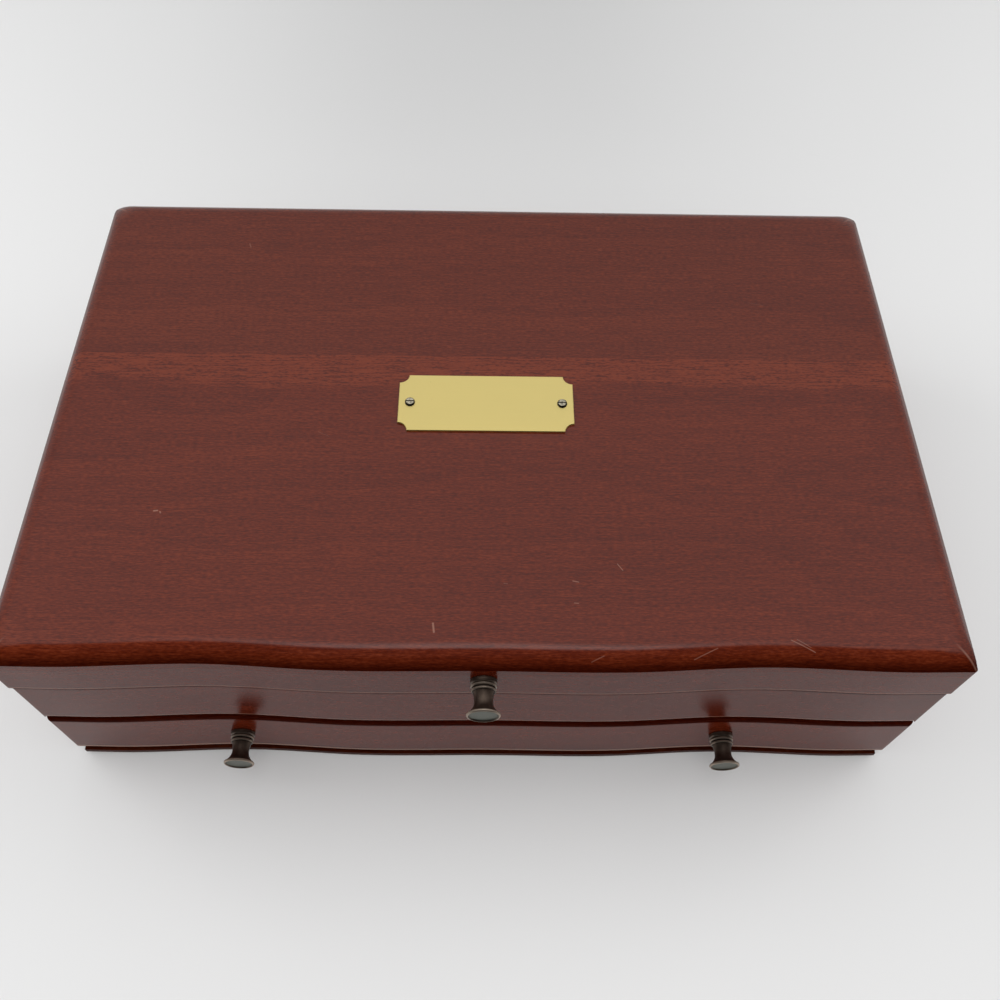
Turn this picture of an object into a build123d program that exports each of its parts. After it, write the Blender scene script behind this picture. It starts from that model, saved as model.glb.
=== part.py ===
"""Two-tier silverware chest: hinged lid with a knife rack, lined tray and one drawer.

Millimetres, +Z up, front towards -Y. The origin is the middle of the underside.
"""

import os

from build123d import *

os.makedirs("parts", exist_ok=True)

# ------------------------------------------------------------------ driving sizes
chest_width = 400.0  # lid, end to end
chest_depth = 262.0  # lid, crest of the front to the back

# serpentine front: how far each point stands from the crest line
bow_centre = 0.55  # centre stands forward
bow_valley = 1.75  # valleys stand back
bow_corner = 0.3  # corners turn back
bow_flat_share = 0.165  # places along the front, as shares of the width
bow_valley_share = 0.285
bow_crest_share = 0.435

# tiers, from the table up
felt_thick = 0.8
base_thick = 3.7
base_gap = 0.5
drawer_front_height = 42.9
drawer_gap = 1.0
case_front_height = 38.1
lid_gap = 0.4
lid_rail_height = 20.6
lid_board_thick = 12.0

# how far each tier stands in from the lid
case_inset = 0.75
base_inset = 0.0
base_end_inset = 4.2
felt_inset = 6.0

# boards
front_thick = 13.0
side_thick = 10.0
back_thick = 10.0
lid_round = 9.48
lid_round_overhang = 0.28  # the full quarter round would stand this far out, so it ends in a crease
front_ease = 3.0
corner_round = 1.5
arris = 0.8
glue_line_y = 25.1
mitre_reach = 3.0  # a mitre's cutter runs out this many board thicknesses
level_play = 0.01  # how near a level an edge must lie to be picked

# tray
floor_thick = 4.0
floor_rise = 3.0
floor_groove = 4.0
lining_thick = 1.2
lining_height = 24.0
bay_width = 36.0
bay_divider_thick = 6.0
bay_divider_height = 26.0
divider_round = 2.0

# flatware racks
rack_slots = 32
rack_slot_width = 4.0
rack_width = 14.0
rack_strip_height = 8.0
rack_fin_height = 16.0
rack_front_setback = 43.25
rack_rear_setback = 76.25
fin_round = 1.65

# knife racks in the lid
lid_pad_thick = 3.0
knife_slots = 12
knife_rack_margin = 8.0
knife_strip_thick = 4.0
knife_fin_height = 11.0
knife_rack_width = 15.0
handle_notch_width = 10.0
handle_rack_setback = 66.0
blade_slot_width = 3.0
blade_rack_setback = 35.0

# drawer box
drawer_side_play = 0.6
drawer_close_gap = 0.3
drawer_back_play = 4.25
drawer_side_thick = 8.0
drawer_side_height = 40.9
drawer_dado = 4.0
drawer_bottom_thick = 3.0
drawer_bottom_rise = 3.0
drawer_bottom_groove = 4.0
finger_count = 5
drawer_divider_thick = 6.0
drawer_divider_height = 27.0
drawer_divider_setback = 76.0
kicker_width = 8.0
kicker_play = 0.6
kicker_setback = 1.5

# knobs, turned metal
knob_length = 15.5
knob_head_r = 7.0
knob_waist_r = 4.05
knob_flange_r = 5.4
knob_neck_step = 0.8
knob_bead_r = 0.65
knob_bead_1 = 2.9
knob_bead_1_stand = 0.62
knob_bead_2 = 4.6
knob_bead_2_stand = 0.42
knob_waist_at = 9.3
knob_bore_r = 2.0
knob_bore_depth = 9.0
knob_seat_relief = 0.1
lid_knob_z = 103.0
drawer_knob_z = 26.0
bolt_play = 0.05
bolt_head_r = 4.0
bolt_head_height = 2.4
bolt_washer_play = 0.5
bolt_engage = 7.0

# name plate
plate_width = 81.0
plate_depth = 32.0
plate_thick = 1.0
plate_y = -3.4
plate_scoop_r = 4.4
plate_arris = 0.25
plate_screw_x = 35.2
plate_screw_r = 0.95
plate_screw_head_r = 2.3
plate_screw_head_height = 1.1
plate_screw_dome = 0.88
plate_screw_length = 8.0
screw_slot_width = 0.6
screw_slot_depth = 0.5
screw_play = 0.05

# butt hinges
hinge_from_end = 72.0
hinge_width = 38.0
hinge_leaf_depth = 8.6
hinge_leaf_thick = 1.3
hinge_barrel_r = 2.3
hinge_barrel_stand = 0.2
hinge_pin_r = 1.1
hinge_pin_play = 0.05
hinge_pin_head_r = 1.9
hinge_pin_head = 0.8
hinge_knuckle_share = 3
hinge_knuckle_gap = 0.3
hinge_screw_x = 12.0
hinge_screw_r = 1.3
hinge_screw_head_r = 2.5
hinge_screw_length = 10.0
hinge_screw_sink = 0.1

# ------------------------------------------------------------------ levels and faces
base_bottom = felt_thick
base_top = base_bottom + base_thick
drawer_bottom_edge = base_top + base_gap
drawer_top_edge = drawer_bottom_edge + drawer_front_height
case_front_bottom = drawer_top_edge + drawer_gap
case_top = case_front_bottom + case_front_height
lid_bottom = case_top + lid_gap
lid_board_bottom = lid_bottom + lid_rail_height
lid_top = lid_board_bottom + lid_board_thick
seam_z = case_top + lid_gap / 2

lid_outer_x = chest_width / 2
lid_outer_y = chest_depth / 2
lid_inner_x = lid_outer_x - side_thick
lid_inner_front = front_thick - lid_outer_y
lid_inner_back = lid_outer_y - back_thick

case_outer_x = lid_outer_x - case_inset
case_outer_y = lid_outer_y - case_inset
case_inner_x = case_outer_x - side_thick
case_inner_front = front_thick - case_outer_y
case_inner_back = case_outer_y - back_thick

handle_rack_y = lid_inner_front + handle_rack_setback
blade_rack_y = lid_inner_back - blade_rack_setback
rack_front_y = case_inner_front + rack_front_setback
rack_rear_y = case_inner_back - rack_rear_setback

floor_bottom = case_front_bottom + floor_rise
floor_top = floor_bottom + floor_thick
tray_bottom = floor_top + lining_thick
tray_half_x = case_inner_x - lining_thick
tray_front = case_inner_front + lining_thick
tray_back = case_inner_back - lining_thick

drawer_outer_x = case_inner_x - drawer_side_play
drawer_inner_x = drawer_outer_x - drawer_side_thick
drawer_back_y = case_inner_back - drawer_back_play
drawer_inner_back = drawer_back_y - drawer_side_thick
drawer_divider_y = drawer_inner_back - drawer_divider_setback
drawer_side_top = drawer_bottom_edge + drawer_side_height
drawer_panel_bottom = drawer_bottom_edge + drawer_bottom_rise
drawer_panel_top = drawer_panel_bottom + drawer_bottom_thick
drawer_floor = drawer_panel_top + lining_thick

bow_flat_x = bow_flat_share * chest_width
bow_valley_x = bow_valley_share * chest_width
bow_crest_x = bow_crest_share * chest_width

far = 2 * chest_width  # reach of a cutter that runs past everything


# ------------------------------------------------------------------ shared outlines
def front_points(inset):
    """Points of the serpentine front, left to right, for a tier set in from the lid."""
    crest_y = inset - chest_depth / 2
    half = chest_width / 2 - inset
    right = [
        (bow_flat_x, crest_y - bow_centre),
        (bow_valley_x, crest_y + bow_valley),
        (bow_crest_x, crest_y),
        (half, crest_y + bow_corner),
    ]
    left = [(-x, y) for x, y in reversed(right)]
    return left + [(0, crest_y - bow_centre)] + right


def plan_outline(inset, back_y):
    """Closed plan of a tier: serpentine front, straight ends and a straight back."""
    half = chest_width / 2 - inset
    front = Spline(*front_points(inset), tangents=[(1, 0), (1, 0)])
    Polyline(front @ 1, (half, back_y), (-half, back_y), front @ 0)


def tier_block(inset, back_y, bottom, height, mode=Mode.ADD):
    """Solid block with a tier's outline."""
    with BuildSketch(Plane.XY.offset(bottom)) as plan:
        with BuildLine():
            plan_outline(inset, back_y)
        make_face()
    extrude(plan.sketch, amount=height, mode=mode)


def cut_box(low, high, mode=Mode.SUBTRACT):
    """Box between two corners, cut away unless told otherwise."""
    size = [b - a for a, b in zip(low, high)]
    middle = [(a + b) / 2 for a, b in zip(low, high)]
    with Locations(tuple(middle)):
        Box(*size, mode=mode)


def add_box(low, high):
    """Box between two corners."""
    cut_box(low, high, mode=Mode.ADD)


def round_corners(inset, back_y):
    """Rounds the upright corners of a piece whose front edges are eased already."""
    half = chest_width / 2 - inset
    front_y = inset - chest_depth / 2 + bow_corner
    with BuildSketch() as spandrels:
        for side in (-1, 1):
            for corner_y, turn in ((front_y, 1), (back_y, -1)):
                centre = (side * (half - corner_round), corner_y + turn * corner_round)
                outer = (centre[0] + side * corner_round, centre[1] - turn * corner_round)
                middle = ((centre[0] + outer[0]) / 2, (centre[1] + outer[1]) / 2)
                with Locations(middle):
                    Rectangle(corner_round, corner_round)
                with Locations(centre):
                    Circle(corner_round, mode=Mode.SUBTRACT)
    extrude(spandrels.sketch, amount=2 * lid_top, mode=Mode.SUBTRACT)


def outer_vertical_edges():
    """The four upright corner edges of a tier, farthest from the middle."""
    upright = edges().filter_by(Axis.Z)
    return upright.sort_by(lambda e: abs(e.center().X) + abs(e.center().Y))[-4:]


def front_edge_at(z):
    """The serpentine edge of the front at one level."""
    level = edges().filter_by_position(Axis.Z, z - level_play, z + level_play)
    return level.filter_by(GeomType.BSPLINE)


# ------------------------------------------------------------------ mitred rims
def keep_mitred(side, inner_x, inner_front, inner_back, outer_x, outer_y):
    """Keeps one board of a rim, cut at each end on the line through the rim's corner."""
    front_y = inner_front - mitre_reach * (outer_y + inner_front)
    back_y = inner_back + mitre_reach * (outer_y - inner_back)
    end_x = inner_x + mitre_reach * (outer_x - inner_x)
    inner = {
        "front_left": (-inner_x, inner_front),
        "front_right": (inner_x, inner_front),
        "back_left": (-inner_x, inner_back),
        "back_right": (inner_x, inner_back),
    }
    outer = {
        "front_left": (-end_x, front_y),
        "front_right": (end_x, front_y),
        "back_left": (-end_x, back_y),
        "back_right": (end_x, back_y),
    }
    first, last = [corner for corner in inner if side in corner]
    with BuildSketch() as wedge:
        with BuildLine():
            Polyline(inner[first], inner[last], outer[last], outer[first], close=True)
        make_face()
    extrude(wedge.sketch, amount=2 * lid_top, both=True, mode=Mode.INTERSECT)


def keep_lid_board(side):
    """Keeps one mitred rail of the lid's rim."""
    keep_mitred(side, lid_inner_x, lid_inner_front, lid_inner_back, lid_outer_x, lid_outer_y)


def keep_case_board(side):
    """Keeps one mitred board of the case."""
    keep_mitred(side, case_inner_x, case_inner_front, case_inner_back, case_outer_x, case_outer_y)


def lid_rim():
    """Rim of the lid, with its lower outer edge eased."""
    tier_block(0, lid_outer_y, lid_bottom, lid_rail_height)
    fillet(outer_vertical_edges(), corner_round)
    lower = faces().sort_by(Axis.Z)[0].edges()
    chamfer(lower, arris)
    cut_box((-lid_inner_x, lid_inner_front, 0), (lid_inner_x, lid_inner_back, far))


def case_rim():
    """Rim of the case from the base to the seam, with its upper outer edge eased."""
    tier_block(case_inset, case_outer_y, base_top, case_top - base_top)
    fillet(outer_vertical_edges(), corner_round)
    upper = faces().sort_by(Axis.Z)[-1].edges()
    chamfer(upper, arris)
    cut_box((-case_inner_x, case_inner_front, 0), (case_inner_x, case_inner_back, far))


def floor_grooves():
    """Groove round the case that holds the tray floor."""
    cut_box(
        (-case_inner_x - floor_groove, case_inner_front - floor_groove, floor_bottom),
        (case_inner_x + floor_groove, case_inner_back + floor_groove, floor_top),
    )


# ------------------------------------------------------------------ hinge geometry
hinge_x = lid_outer_x - hinge_from_end
hinge_y = lid_outer_y + hinge_barrel_stand + hinge_barrel_r
hinge_leaf_front = lid_outer_y - hinge_leaf_depth
hinge_knuckle = hinge_width / hinge_knuckle_share
hinge_screw_y = (hinge_leaf_front + case_outer_y) / 2
hinge_bore_r = hinge_pin_r + hinge_pin_play
hinge_centres = (-hinge_x, hinge_x)


def hinge_mortises(face_z, depth):
    """Pockets for the hinge leaves and pilot holes for their screws, below or above a face."""
    for centre in hinge_centres:
        z_pair = sorted((face_z, face_z + depth))
        cut_box(
            (centre - hinge_width / 2, hinge_leaf_front, z_pair[0]),
            (centre + hinge_width / 2, far, z_pair[1]),
        )
        tip = face_z + (hinge_screw_length + screw_play) * (1 if depth > 0 else -1)
        low, high = sorted((face_z, tip))
        with Locations(
            (centre - hinge_screw_x, hinge_screw_y, low),
            (centre + hinge_screw_x, hinge_screw_y, low),
        ):
            Cylinder(
                hinge_screw_r + screw_play,
                high - low,
                align=(Align.CENTER, Align.CENTER, Align.MIN),
                mode=Mode.SUBTRACT,
            )


def hinge_leaf(centre, up):
    """One leaf with its knuckles: the lid's leaf lies above the seam and has the middle knuckle."""
    sign = 1 if up else -1
    inner = seam_z + sign * lid_gap / 2
    outer = inner + sign * hinge_leaf_thick
    low, high = sorted((inner, outer))
    add_box((centre - hinge_width / 2, hinge_leaf_front, low), (centre + hinge_width / 2, hinge_y, high))
    with Locations(Plane((centre, hinge_y, seam_z), z_dir=(1, 0, 0))):
        Cylinder(hinge_barrel_r, hinge_width)
        Cylinder(hinge_bore_r, far, mode=Mode.SUBTRACT)
    clear_y = hinge_y - hinge_barrel_r - hinge_knuckle_gap
    half_knuckle = hinge_knuckle / 2
    if up:
        for side in (-1, 1):
            near = centre + side * (half_knuckle - hinge_knuckle_gap / 2)
            away = centre + side * far
            cut_box((min(near, away), clear_y, 0), (max(near, away), far, far))
    else:
        reach = half_knuckle + hinge_knuckle_gap / 2
        cut_box((centre - reach, clear_y, 0), (centre + reach, far, far))
    drop = Plane((centre, hinge_screw_y, inner), z_dir=(0, 0, sign))
    with Locations(drop):
        with Locations((-hinge_screw_x, 0, 0), (hinge_screw_x, 0, 0)):
            Cone(
                hinge_screw_head_r + hinge_screw_sink + screw_play,
                hinge_screw_r + hinge_screw_sink + screw_play,
                hinge_leaf_thick,
                align=(Align.CENTER, Align.CENTER, Align.MIN),
                mode=Mode.SUBTRACT,
            )


def hinge_screws(up):
    """Countersunk screws of both leaves on one side of the seam."""
    sign = 1 if up else -1
    inner = seam_z + sign * lid_gap / 2
    shank = hinge_screw_length - hinge_leaf_thick
    for centre in hinge_centres:
        drop = Plane((centre, hinge_screw_y, inner), z_dir=(0, 0, sign))
        with Locations(drop):
            with Locations((-hinge_screw_x, 0, hinge_screw_sink), (hinge_screw_x, 0, hinge_screw_sink)):
                Cone(
                    hinge_screw_head_r,
                    hinge_screw_r,
                    hinge_leaf_thick - hinge_screw_sink,
                    align=(Align.CENTER, Align.CENTER, Align.MIN),
                )
            with Locations(
                (-hinge_screw_x, 0, hinge_leaf_thick),
                (hinge_screw_x, 0, hinge_leaf_thick),
            ):
                Cylinder(hinge_screw_r, shank, align=(Align.CENTER, Align.CENTER, Align.MIN))


def hinge_pin(centre):
    """Pin with a small head at each end of the barrel."""
    with Locations(Plane((centre, hinge_y, seam_z), z_dir=(1, 0, 0))):
        Cylinder(hinge_pin_r, hinge_width + 2 * hinge_pin_head)
        offset = (hinge_width + hinge_pin_head) / 2
        with Locations((0, 0, offset), (0, 0, -offset)):
            Cylinder(hinge_pin_head_r, hinge_pin_head)


# ------------------------------------------------------------------ knobs
lid_knob_seat = -lid_outer_y - bow_centre - knob_seat_relief
drawer_knob_seat = bow_valley - case_outer_y - knob_seat_relief


def knob(x, seat_y, z):
    """Turned knob: flange, two beads, waisted stem and a dished face with a raised rim."""
    neck_r = knob_flange_r - knob_neck_step
    cove_start = knob_bead_2 + knob_bead_r
    rim_at = knob_length - knob_bead_r
    dish_r = knob_head_r - 2 * knob_bead_r
    with BuildSketch(Plane((x, seat_y, z))) as half_profile:
        with BuildLine():
            flange = Polyline(
                (knob_bore_r, 0),
                (knob_flange_r, 0),
                (knob_flange_r, -knob_bead_1 + 2 * knob_bead_r),
                (neck_r, -knob_bead_1 + knob_bead_r),
            )
            ring_1 = ThreePointArc(
                flange @ 1,
                (neck_r + knob_bead_1_stand, -knob_bead_1),
                (neck_r, -knob_bead_1 - knob_bead_r),
            )
            ring_gap = Line(ring_1 @ 1, (neck_r, -knob_bead_2 + knob_bead_r))
            ring_2 = ThreePointArc(
                ring_gap @ 1,
                (neck_r + knob_bead_2_stand, -knob_bead_2),
                (neck_r, -cove_start),
            )
            stem = Spline(
                ring_2 @ 1,
                (knob_waist_r, -knob_waist_at),
                (knob_head_r - knob_bead_r, -rim_at + knob_bead_r),
            )
            rim = ThreePointArc(
                stem @ 1,
                (knob_head_r, -rim_at),
                (knob_head_r - knob_bead_r, -knob_length),
            )
            Polyline(
                rim @ 1,
                (dish_r, -rim_at),
                (0, -rim_at),
                (0, -knob_bore_depth),
                (knob_bore_r, -knob_bore_depth),
                flange @ 0,
            )
        make_face()
    revolve(half_profile.sketch, axis=Axis((x, seat_y, z), (0, -1, 0)))


def bolt_hole(x, z, head_face_y):
    """Clearance hole through a front and the pocket for the bolt's head at its inner face."""
    with Locations(Plane((x, head_face_y, z), z_dir=(0, 1, 0))):
        Cylinder(knob_bore_r, far, mode=Mode.SUBTRACT)
        Cylinder(
            bolt_head_r + bolt_washer_play,
            far,
            align=(Align.CENTER, Align.CENTER, Align.MIN),
            mode=Mode.SUBTRACT,
        )


def bolt(x, z, head_face_y, seat_y):
    """Pan-headed bolt from inside the front into the knob, with a cross recess."""
    shank = head_face_y - seat_y + bolt_engage
    with Locations(Plane((x, head_face_y, z), z_dir=(0, -1, 0))):
        Cylinder(knob_bore_r - bolt_play, shank, align=(Align.CENTER, Align.CENTER, Align.MIN))
    with Locations(Plane((x, head_face_y, z), z_dir=(0, 1, 0))):
        Cylinder(bolt_head_r, bolt_head_height, align=(Align.CENTER, Align.CENTER, Align.MIN))
        with Locations((0, 0, bolt_head_height)):
            Box(bolt_head_r, screw_slot_width, 2 * screw_slot_depth, mode=Mode.SUBTRACT)
            Box(screw_slot_width, bolt_head_r, 2 * screw_slot_depth, mode=Mode.SUBTRACT)


lid_bolt_face = lid_inner_front - bolt_head_height - bolt_washer_play
drawer_bolt_face = case_inner_front - bolt_head_height - bolt_washer_play


# ------------------------------------------------------------------ base
with BuildPart() as base_felt:
    tier_block(felt_inset, lid_outer_y - felt_inset, 0, felt_thick)
base_felt.part.label = "base_felt"

with BuildPart() as base_board:
    tier_block(base_inset, case_outer_y, base_bottom, base_thick)
    for side in (-1, 1):
        near, away = sorted((side * (lid_outer_x - base_end_inset), side * far))
        cut_box((near, -far, 0), (away, far, far))
    fillet(outer_vertical_edges(), corner_round)
    fillet(base_board.faces().sort_by(Axis.Z)[0].edges(), arris)
base_board.part.label = "base_board"

# ------------------------------------------------------------------ case
with BuildPart() as case_front:
    tier_block(case_inset, case_inner_front, case_front_bottom, case_front_height)
    fillet(front_edge_at(case_front_bottom), front_ease)
    chamfer(front_edge_at(case_top), arris)
    round_corners(case_inset, far)
    keep_case_board("front")
    floor_grooves()
case_front.part.label = "case_front"


def case_side(side):
    """One end of the case: full height, cut back behind the drawer front below the tray."""
    case_rim()
    keep_case_board(side)
    cut_box((-far, -far, 0), (far, case_inner_front + drawer_close_gap, case_front_bottom))
    floor_grooves()


with BuildPart() as case_side_left:
    case_side("left")
case_side_left.part.label = "case_side_left"

with BuildPart() as case_side_right:
    case_side("right")
case_side_right.part.label = "case_side_right"

with BuildPart() as case_back:
    case_rim()
    keep_case_board("back")
    floor_grooves()
    hinge_mortises(case_top, -hinge_leaf_thick)
case_back.part.label = "case_back"

with BuildPart() as tray_floor:
    add_box(
        (-case_inner_x - floor_groove, case_inner_front - floor_groove, floor_bottom),
        (case_inner_x + floor_groove, case_inner_back + floor_groove, floor_top),
    )
tray_floor.part.label = "tray_floor"

kicker_front = case_inner_front + kicker_setback
kicker_bottom = drawer_side_top + kicker_play


def drawer_kicker(side):
    """Strip under the tray floor that keeps the open drawer from tipping."""
    near, away = sorted((side * (case_inner_x - kicker_width), side * case_inner_x))
    add_box((near, kicker_front, kicker_bottom), (away, case_inner_back, floor_bottom))


with BuildPart() as drawer_kicker_left:
    drawer_kicker(-1)
drawer_kicker_left.part.label = "drawer_kicker_left"

with BuildPart() as drawer_kicker_right:
    drawer_kicker(1)
drawer_kicker_right.part.label = "drawer_kicker_right"

# ------------------------------------------------------------------ tray lining and racks
with BuildPart() as tray_lining_floor:
    add_box(
        (-case_inner_x, case_inner_front, floor_top),
        (case_inner_x, case_inner_back, tray_bottom),
    )
tray_lining_floor.part.label = "tray_lining_floor"


def wall_lining(inner_x, inner_front, inner_back, bottom, height):
    """Four covered cards that stand against the walls; the end cards fit between the long ones."""
    top = bottom + height
    long_front = inner_front + lining_thick
    long_back = inner_back - lining_thick
    add_box((-inner_x, inner_front, bottom), (inner_x, long_front, top))
    add_box((-inner_x, long_back, bottom), (inner_x, inner_back, top))
    add_box((-inner_x, long_front, bottom), (lining_thick - inner_x, long_back, top))
    add_box((inner_x - lining_thick, long_front, bottom), (inner_x, long_back, top))


with BuildPart() as tray_lining_walls:
    wall_lining(case_inner_x, case_inner_front, case_inner_back, tray_bottom, lining_height)
tray_lining_walls.part.label = "tray_lining_walls"

divider_centre_x = tray_half_x - bay_width - bay_divider_thick / 2
rack_half = divider_centre_x - bay_divider_thick / 2
rack_land = (2 * rack_half - rack_slots * rack_slot_width) / (rack_slots + 1)
rack_pitch = rack_land + rack_slot_width


def divider(low, high):
    """Covered divider with a rounded top."""
    add_box(low, high)
    along = Axis.X if high[0] - low[0] > high[1] - low[1] else Axis.Y
    fillet(faces().sort_by(Axis.Z)[-1].edges().filter_by(along), divider_round)


def bay_divider(side):
    """Divider between the racks and the serving bay at one end of the tray."""
    centre = side * divider_centre_x
    half = bay_divider_thick / 2
    divider(
        (centre - half, tray_front, tray_bottom),
        (centre + half, tray_back, tray_bottom + bay_divider_height),
    )


with BuildPart() as tray_divider_left:
    bay_divider(-1)
tray_divider_left.part.label = "tray_divider_left"

with BuildPart() as tray_divider_right:
    bay_divider(1)
tray_divider_right.part.label = "tray_divider_right"


def rack_strip(y):
    """Base strip of a flatware rack, from divider to divider."""
    half = rack_width / 2
    add_box(
        (-rack_half, y - half, tray_bottom),
        (rack_half, y + half, tray_bottom + rack_strip_height),
    )


def fins(count, pitch, thick, width, height, middle, upward):
    """Row of fins with rounded free edges; a fork, spoon or blade stands between two of them."""
    sign = 1 if upward else -1
    x, y, root = middle
    with BuildSketch(Plane((x, y, root), x_dir=(1, 0, 0), z_dir=(0, -1, 0))) as row:
        with GridLocations(pitch, 0, count, 1):
            with Locations((0, sign * height / 2)):
                Rectangle(thick, height)
    extrude(row.sketch, amount=width / 2, both=True)
    top = faces().filter_by(Axis.Z).group_by(Axis.Z)[-1 if upward else 0]
    fillet(top.edges().filter_by(Axis.Y), fin_round)


def flatware_fins(y):
    """Fins of one flatware rack."""
    root = (0, y, tray_bottom + rack_strip_height)
    fins(rack_slots + 1, rack_pitch, rack_land, rack_width, rack_fin_height, root, True)


with BuildPart() as rack_strip_front:
    rack_strip(rack_front_y)
rack_strip_front.part.label = "rack_strip_front"

with BuildPart() as rack_strip_rear:
    rack_strip(rack_rear_y)
rack_strip_rear.part.label = "rack_strip_rear"

with BuildPart() as rack_fins_front:
    flatware_fins(rack_front_y)
rack_fins_front.part.label = "rack_fins_front"

with BuildPart() as rack_fins_rear:
    flatware_fins(rack_rear_y)
rack_fins_rear.part.label = "rack_fins_rear"

# ------------------------------------------------------------------ lid


def lid_panel():
    """Top panel: front and back roundovers follow the plan, end roundovers meet them in a mitre."""
    wide = lid_round_overhang
    tier_block(-wide, lid_outer_y + wide, lid_board_bottom, lid_board_thick)
    top = faces().sort_by(Axis.Z)[-1].edges()
    front_and_back = top.filter_by(GeomType.BSPLINE) + top.filter_by(Axis.X).sort_by(Axis.Y)[-1:]
    fillet(front_and_back, lid_round)
    with BuildSketch(Plane.XZ) as end_profile:
        with Locations((0, (lid_board_bottom + lid_top) / 2)):
            Rectangle(chest_width + 2 * wide, lid_board_thick)
        fillet(end_profile.vertices().group_by(Axis.Y)[-1], lid_round)
    extrude(end_profile.sketch, amount=far, both=True, mode=Mode.INTERSECT)
    tier_block(0, lid_outer_y, lid_board_bottom, lid_board_thick, mode=Mode.INTERSECT)
    round_corners(0, lid_outer_y)


def plate_screw_holes():
    """Holes for the plate's two screws, through the plate and into the lid."""
    with Locations(Plane((0, plate_y, lid_top + plate_thick))):
        with Locations((-plate_screw_x, 0, 0), (plate_screw_x, 0, 0)):
            Cylinder(
                plate_screw_r + screw_play,
                plate_screw_length + plate_thick + screw_play,
                align=(Align.CENTER, Align.CENTER, Align.MAX),
                mode=Mode.SUBTRACT,
            )


with BuildPart() as lid_board_front:
    lid_panel()
    cut_box((-far, glue_line_y, 0), (far, far, far))
    plate_screw_holes()
lid_board_front.part.label = "lid_board_front"

with BuildPart() as lid_board_rear:
    lid_panel()
    cut_box((-far, -far, 0), (far, glue_line_y, far))
lid_board_rear.part.label = "lid_board_rear"

with BuildPart() as lid_rail_front:
    lid_rim()
    keep_lid_board("front")
    bolt_hole(0, lid_knob_z, lid_bolt_face)
lid_rail_front.part.label = "lid_rail_front"

with BuildPart() as lid_rail_back:
    lid_rim()
    keep_lid_board("back")
    hinge_mortises(lid_bottom, hinge_leaf_thick)
lid_rail_back.part.label = "lid_rail_back"

with BuildPart() as lid_rail_left:
    lid_rim()
    keep_lid_board("left")
lid_rail_left.part.label = "lid_rail_left"

with BuildPart() as lid_rail_right:
    lid_rim()
    keep_lid_board("right")
lid_rail_right.part.label = "lid_rail_right"

lid_pad_bottom = lid_board_bottom - lid_pad_thick
with BuildPart() as lid_pad:
    add_box(
        (-lid_inner_x, lid_inner_front, lid_pad_bottom),
        (lid_inner_x, lid_inner_back, lid_board_bottom),
    )
lid_pad.part.label = "lid_pad"

knife_strip_bottom = lid_pad_bottom - knife_strip_thick
knife_strip_half = lid_inner_x - knife_rack_margin
knife_pitch = 2 * knife_strip_half / (knife_slots + 1)


def knife_strip(y):
    """Strip that carries a row of knife fins under the lid's pad."""
    half = knife_rack_width / 2
    add_box(
        (-knife_strip_half, y - half, knife_strip_bottom),
        (knife_strip_half, y + half, lid_pad_bottom),
    )


def knife_fins(y, slot):
    """Fins of a knife rack, one slot wide apart."""
    root = (0, y, knife_strip_bottom)
    thick = knife_pitch - slot
    fins(knife_slots + 1, knife_pitch, thick, knife_rack_width, knife_fin_height, root, False)


with BuildPart() as knife_handle_strip:
    knife_strip(handle_rack_y)
knife_handle_strip.part.label = "knife_handle_strip"

with BuildPart() as knife_handle_fins:
    knife_fins(handle_rack_y, handle_notch_width)
knife_handle_fins.part.label = "knife_handle_fins"

with BuildPart() as knife_blade_strip:
    knife_strip(blade_rack_y)
knife_blade_strip.part.label = "knife_blade_strip"

with BuildPart() as knife_blade_fins:
    knife_fins(blade_rack_y, blade_slot_width)
knife_blade_fins.part.label = "knife_blade_fins"

with BuildPart() as name_plate:
    with BuildSketch(Plane.XY.offset(lid_top)):
        with Locations((0, plate_y)):
            Rectangle(plate_width, plate_depth)
            with GridLocations(plate_width, plate_depth, 2, 2):
                Circle(plate_scoop_r, mode=Mode.SUBTRACT)
    extrude(amount=plate_thick)
    chamfer(name_plate.faces().sort_by(Axis.Z)[-1].edges(), plate_arris)
    plate_screw_holes()
name_plate.part.label = "name_plate"

with BuildPart() as plate_screws:
    with Locations(Plane((0, plate_y, lid_top + plate_thick))):
        with Locations((-plate_screw_x, 0, 0), (plate_screw_x, 0, 0)):
            Cylinder(
                plate_screw_head_r,
                plate_screw_head_height,
                align=(Align.CENTER, Align.CENTER, Align.MIN),
            )
    head_rims = plate_screws.faces().filter_by(Axis.Z).group_by(Axis.Z)[-1].edges()
    fillet(head_rims, plate_screw_dome)
    with Locations(Plane((0, plate_y, lid_top + plate_thick))):
        with Locations((-plate_screw_x, 0, 0), (plate_screw_x, 0, 0)):
            Cylinder(plate_screw_r, plate_screw_length, align=(Align.CENTER, Align.CENTER, Align.MAX))
            with Locations((0, 0, plate_screw_head_height)):
                Box(2 * plate_screw_head_r, screw_slot_width, 2 * screw_slot_depth, mode=Mode.SUBTRACT)
plate_screws.part.label = "plate_screws"

with BuildPart() as lid_knob:
    knob(0, lid_knob_seat, lid_knob_z)
lid_knob.part.label = "lid_knob"

with BuildPart() as lid_knob_bolt:
    bolt(0, lid_knob_z, lid_bolt_face, lid_knob_seat)
lid_knob_bolt.part.label = "lid_knob_bolt"

# ------------------------------------------------------------------ hinges
with BuildPart() as case_hinge_leaf_left:
    hinge_leaf(-hinge_x, up=False)
case_hinge_leaf_left.part.label = "case_hinge_leaf_left"

with BuildPart() as case_hinge_leaf_right:
    hinge_leaf(hinge_x, up=False)
case_hinge_leaf_right.part.label = "case_hinge_leaf_right"

with BuildPart() as lid_hinge_leaf_left:
    hinge_leaf(-hinge_x, up=True)
lid_hinge_leaf_left.part.label = "lid_hinge_leaf_left"

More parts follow.
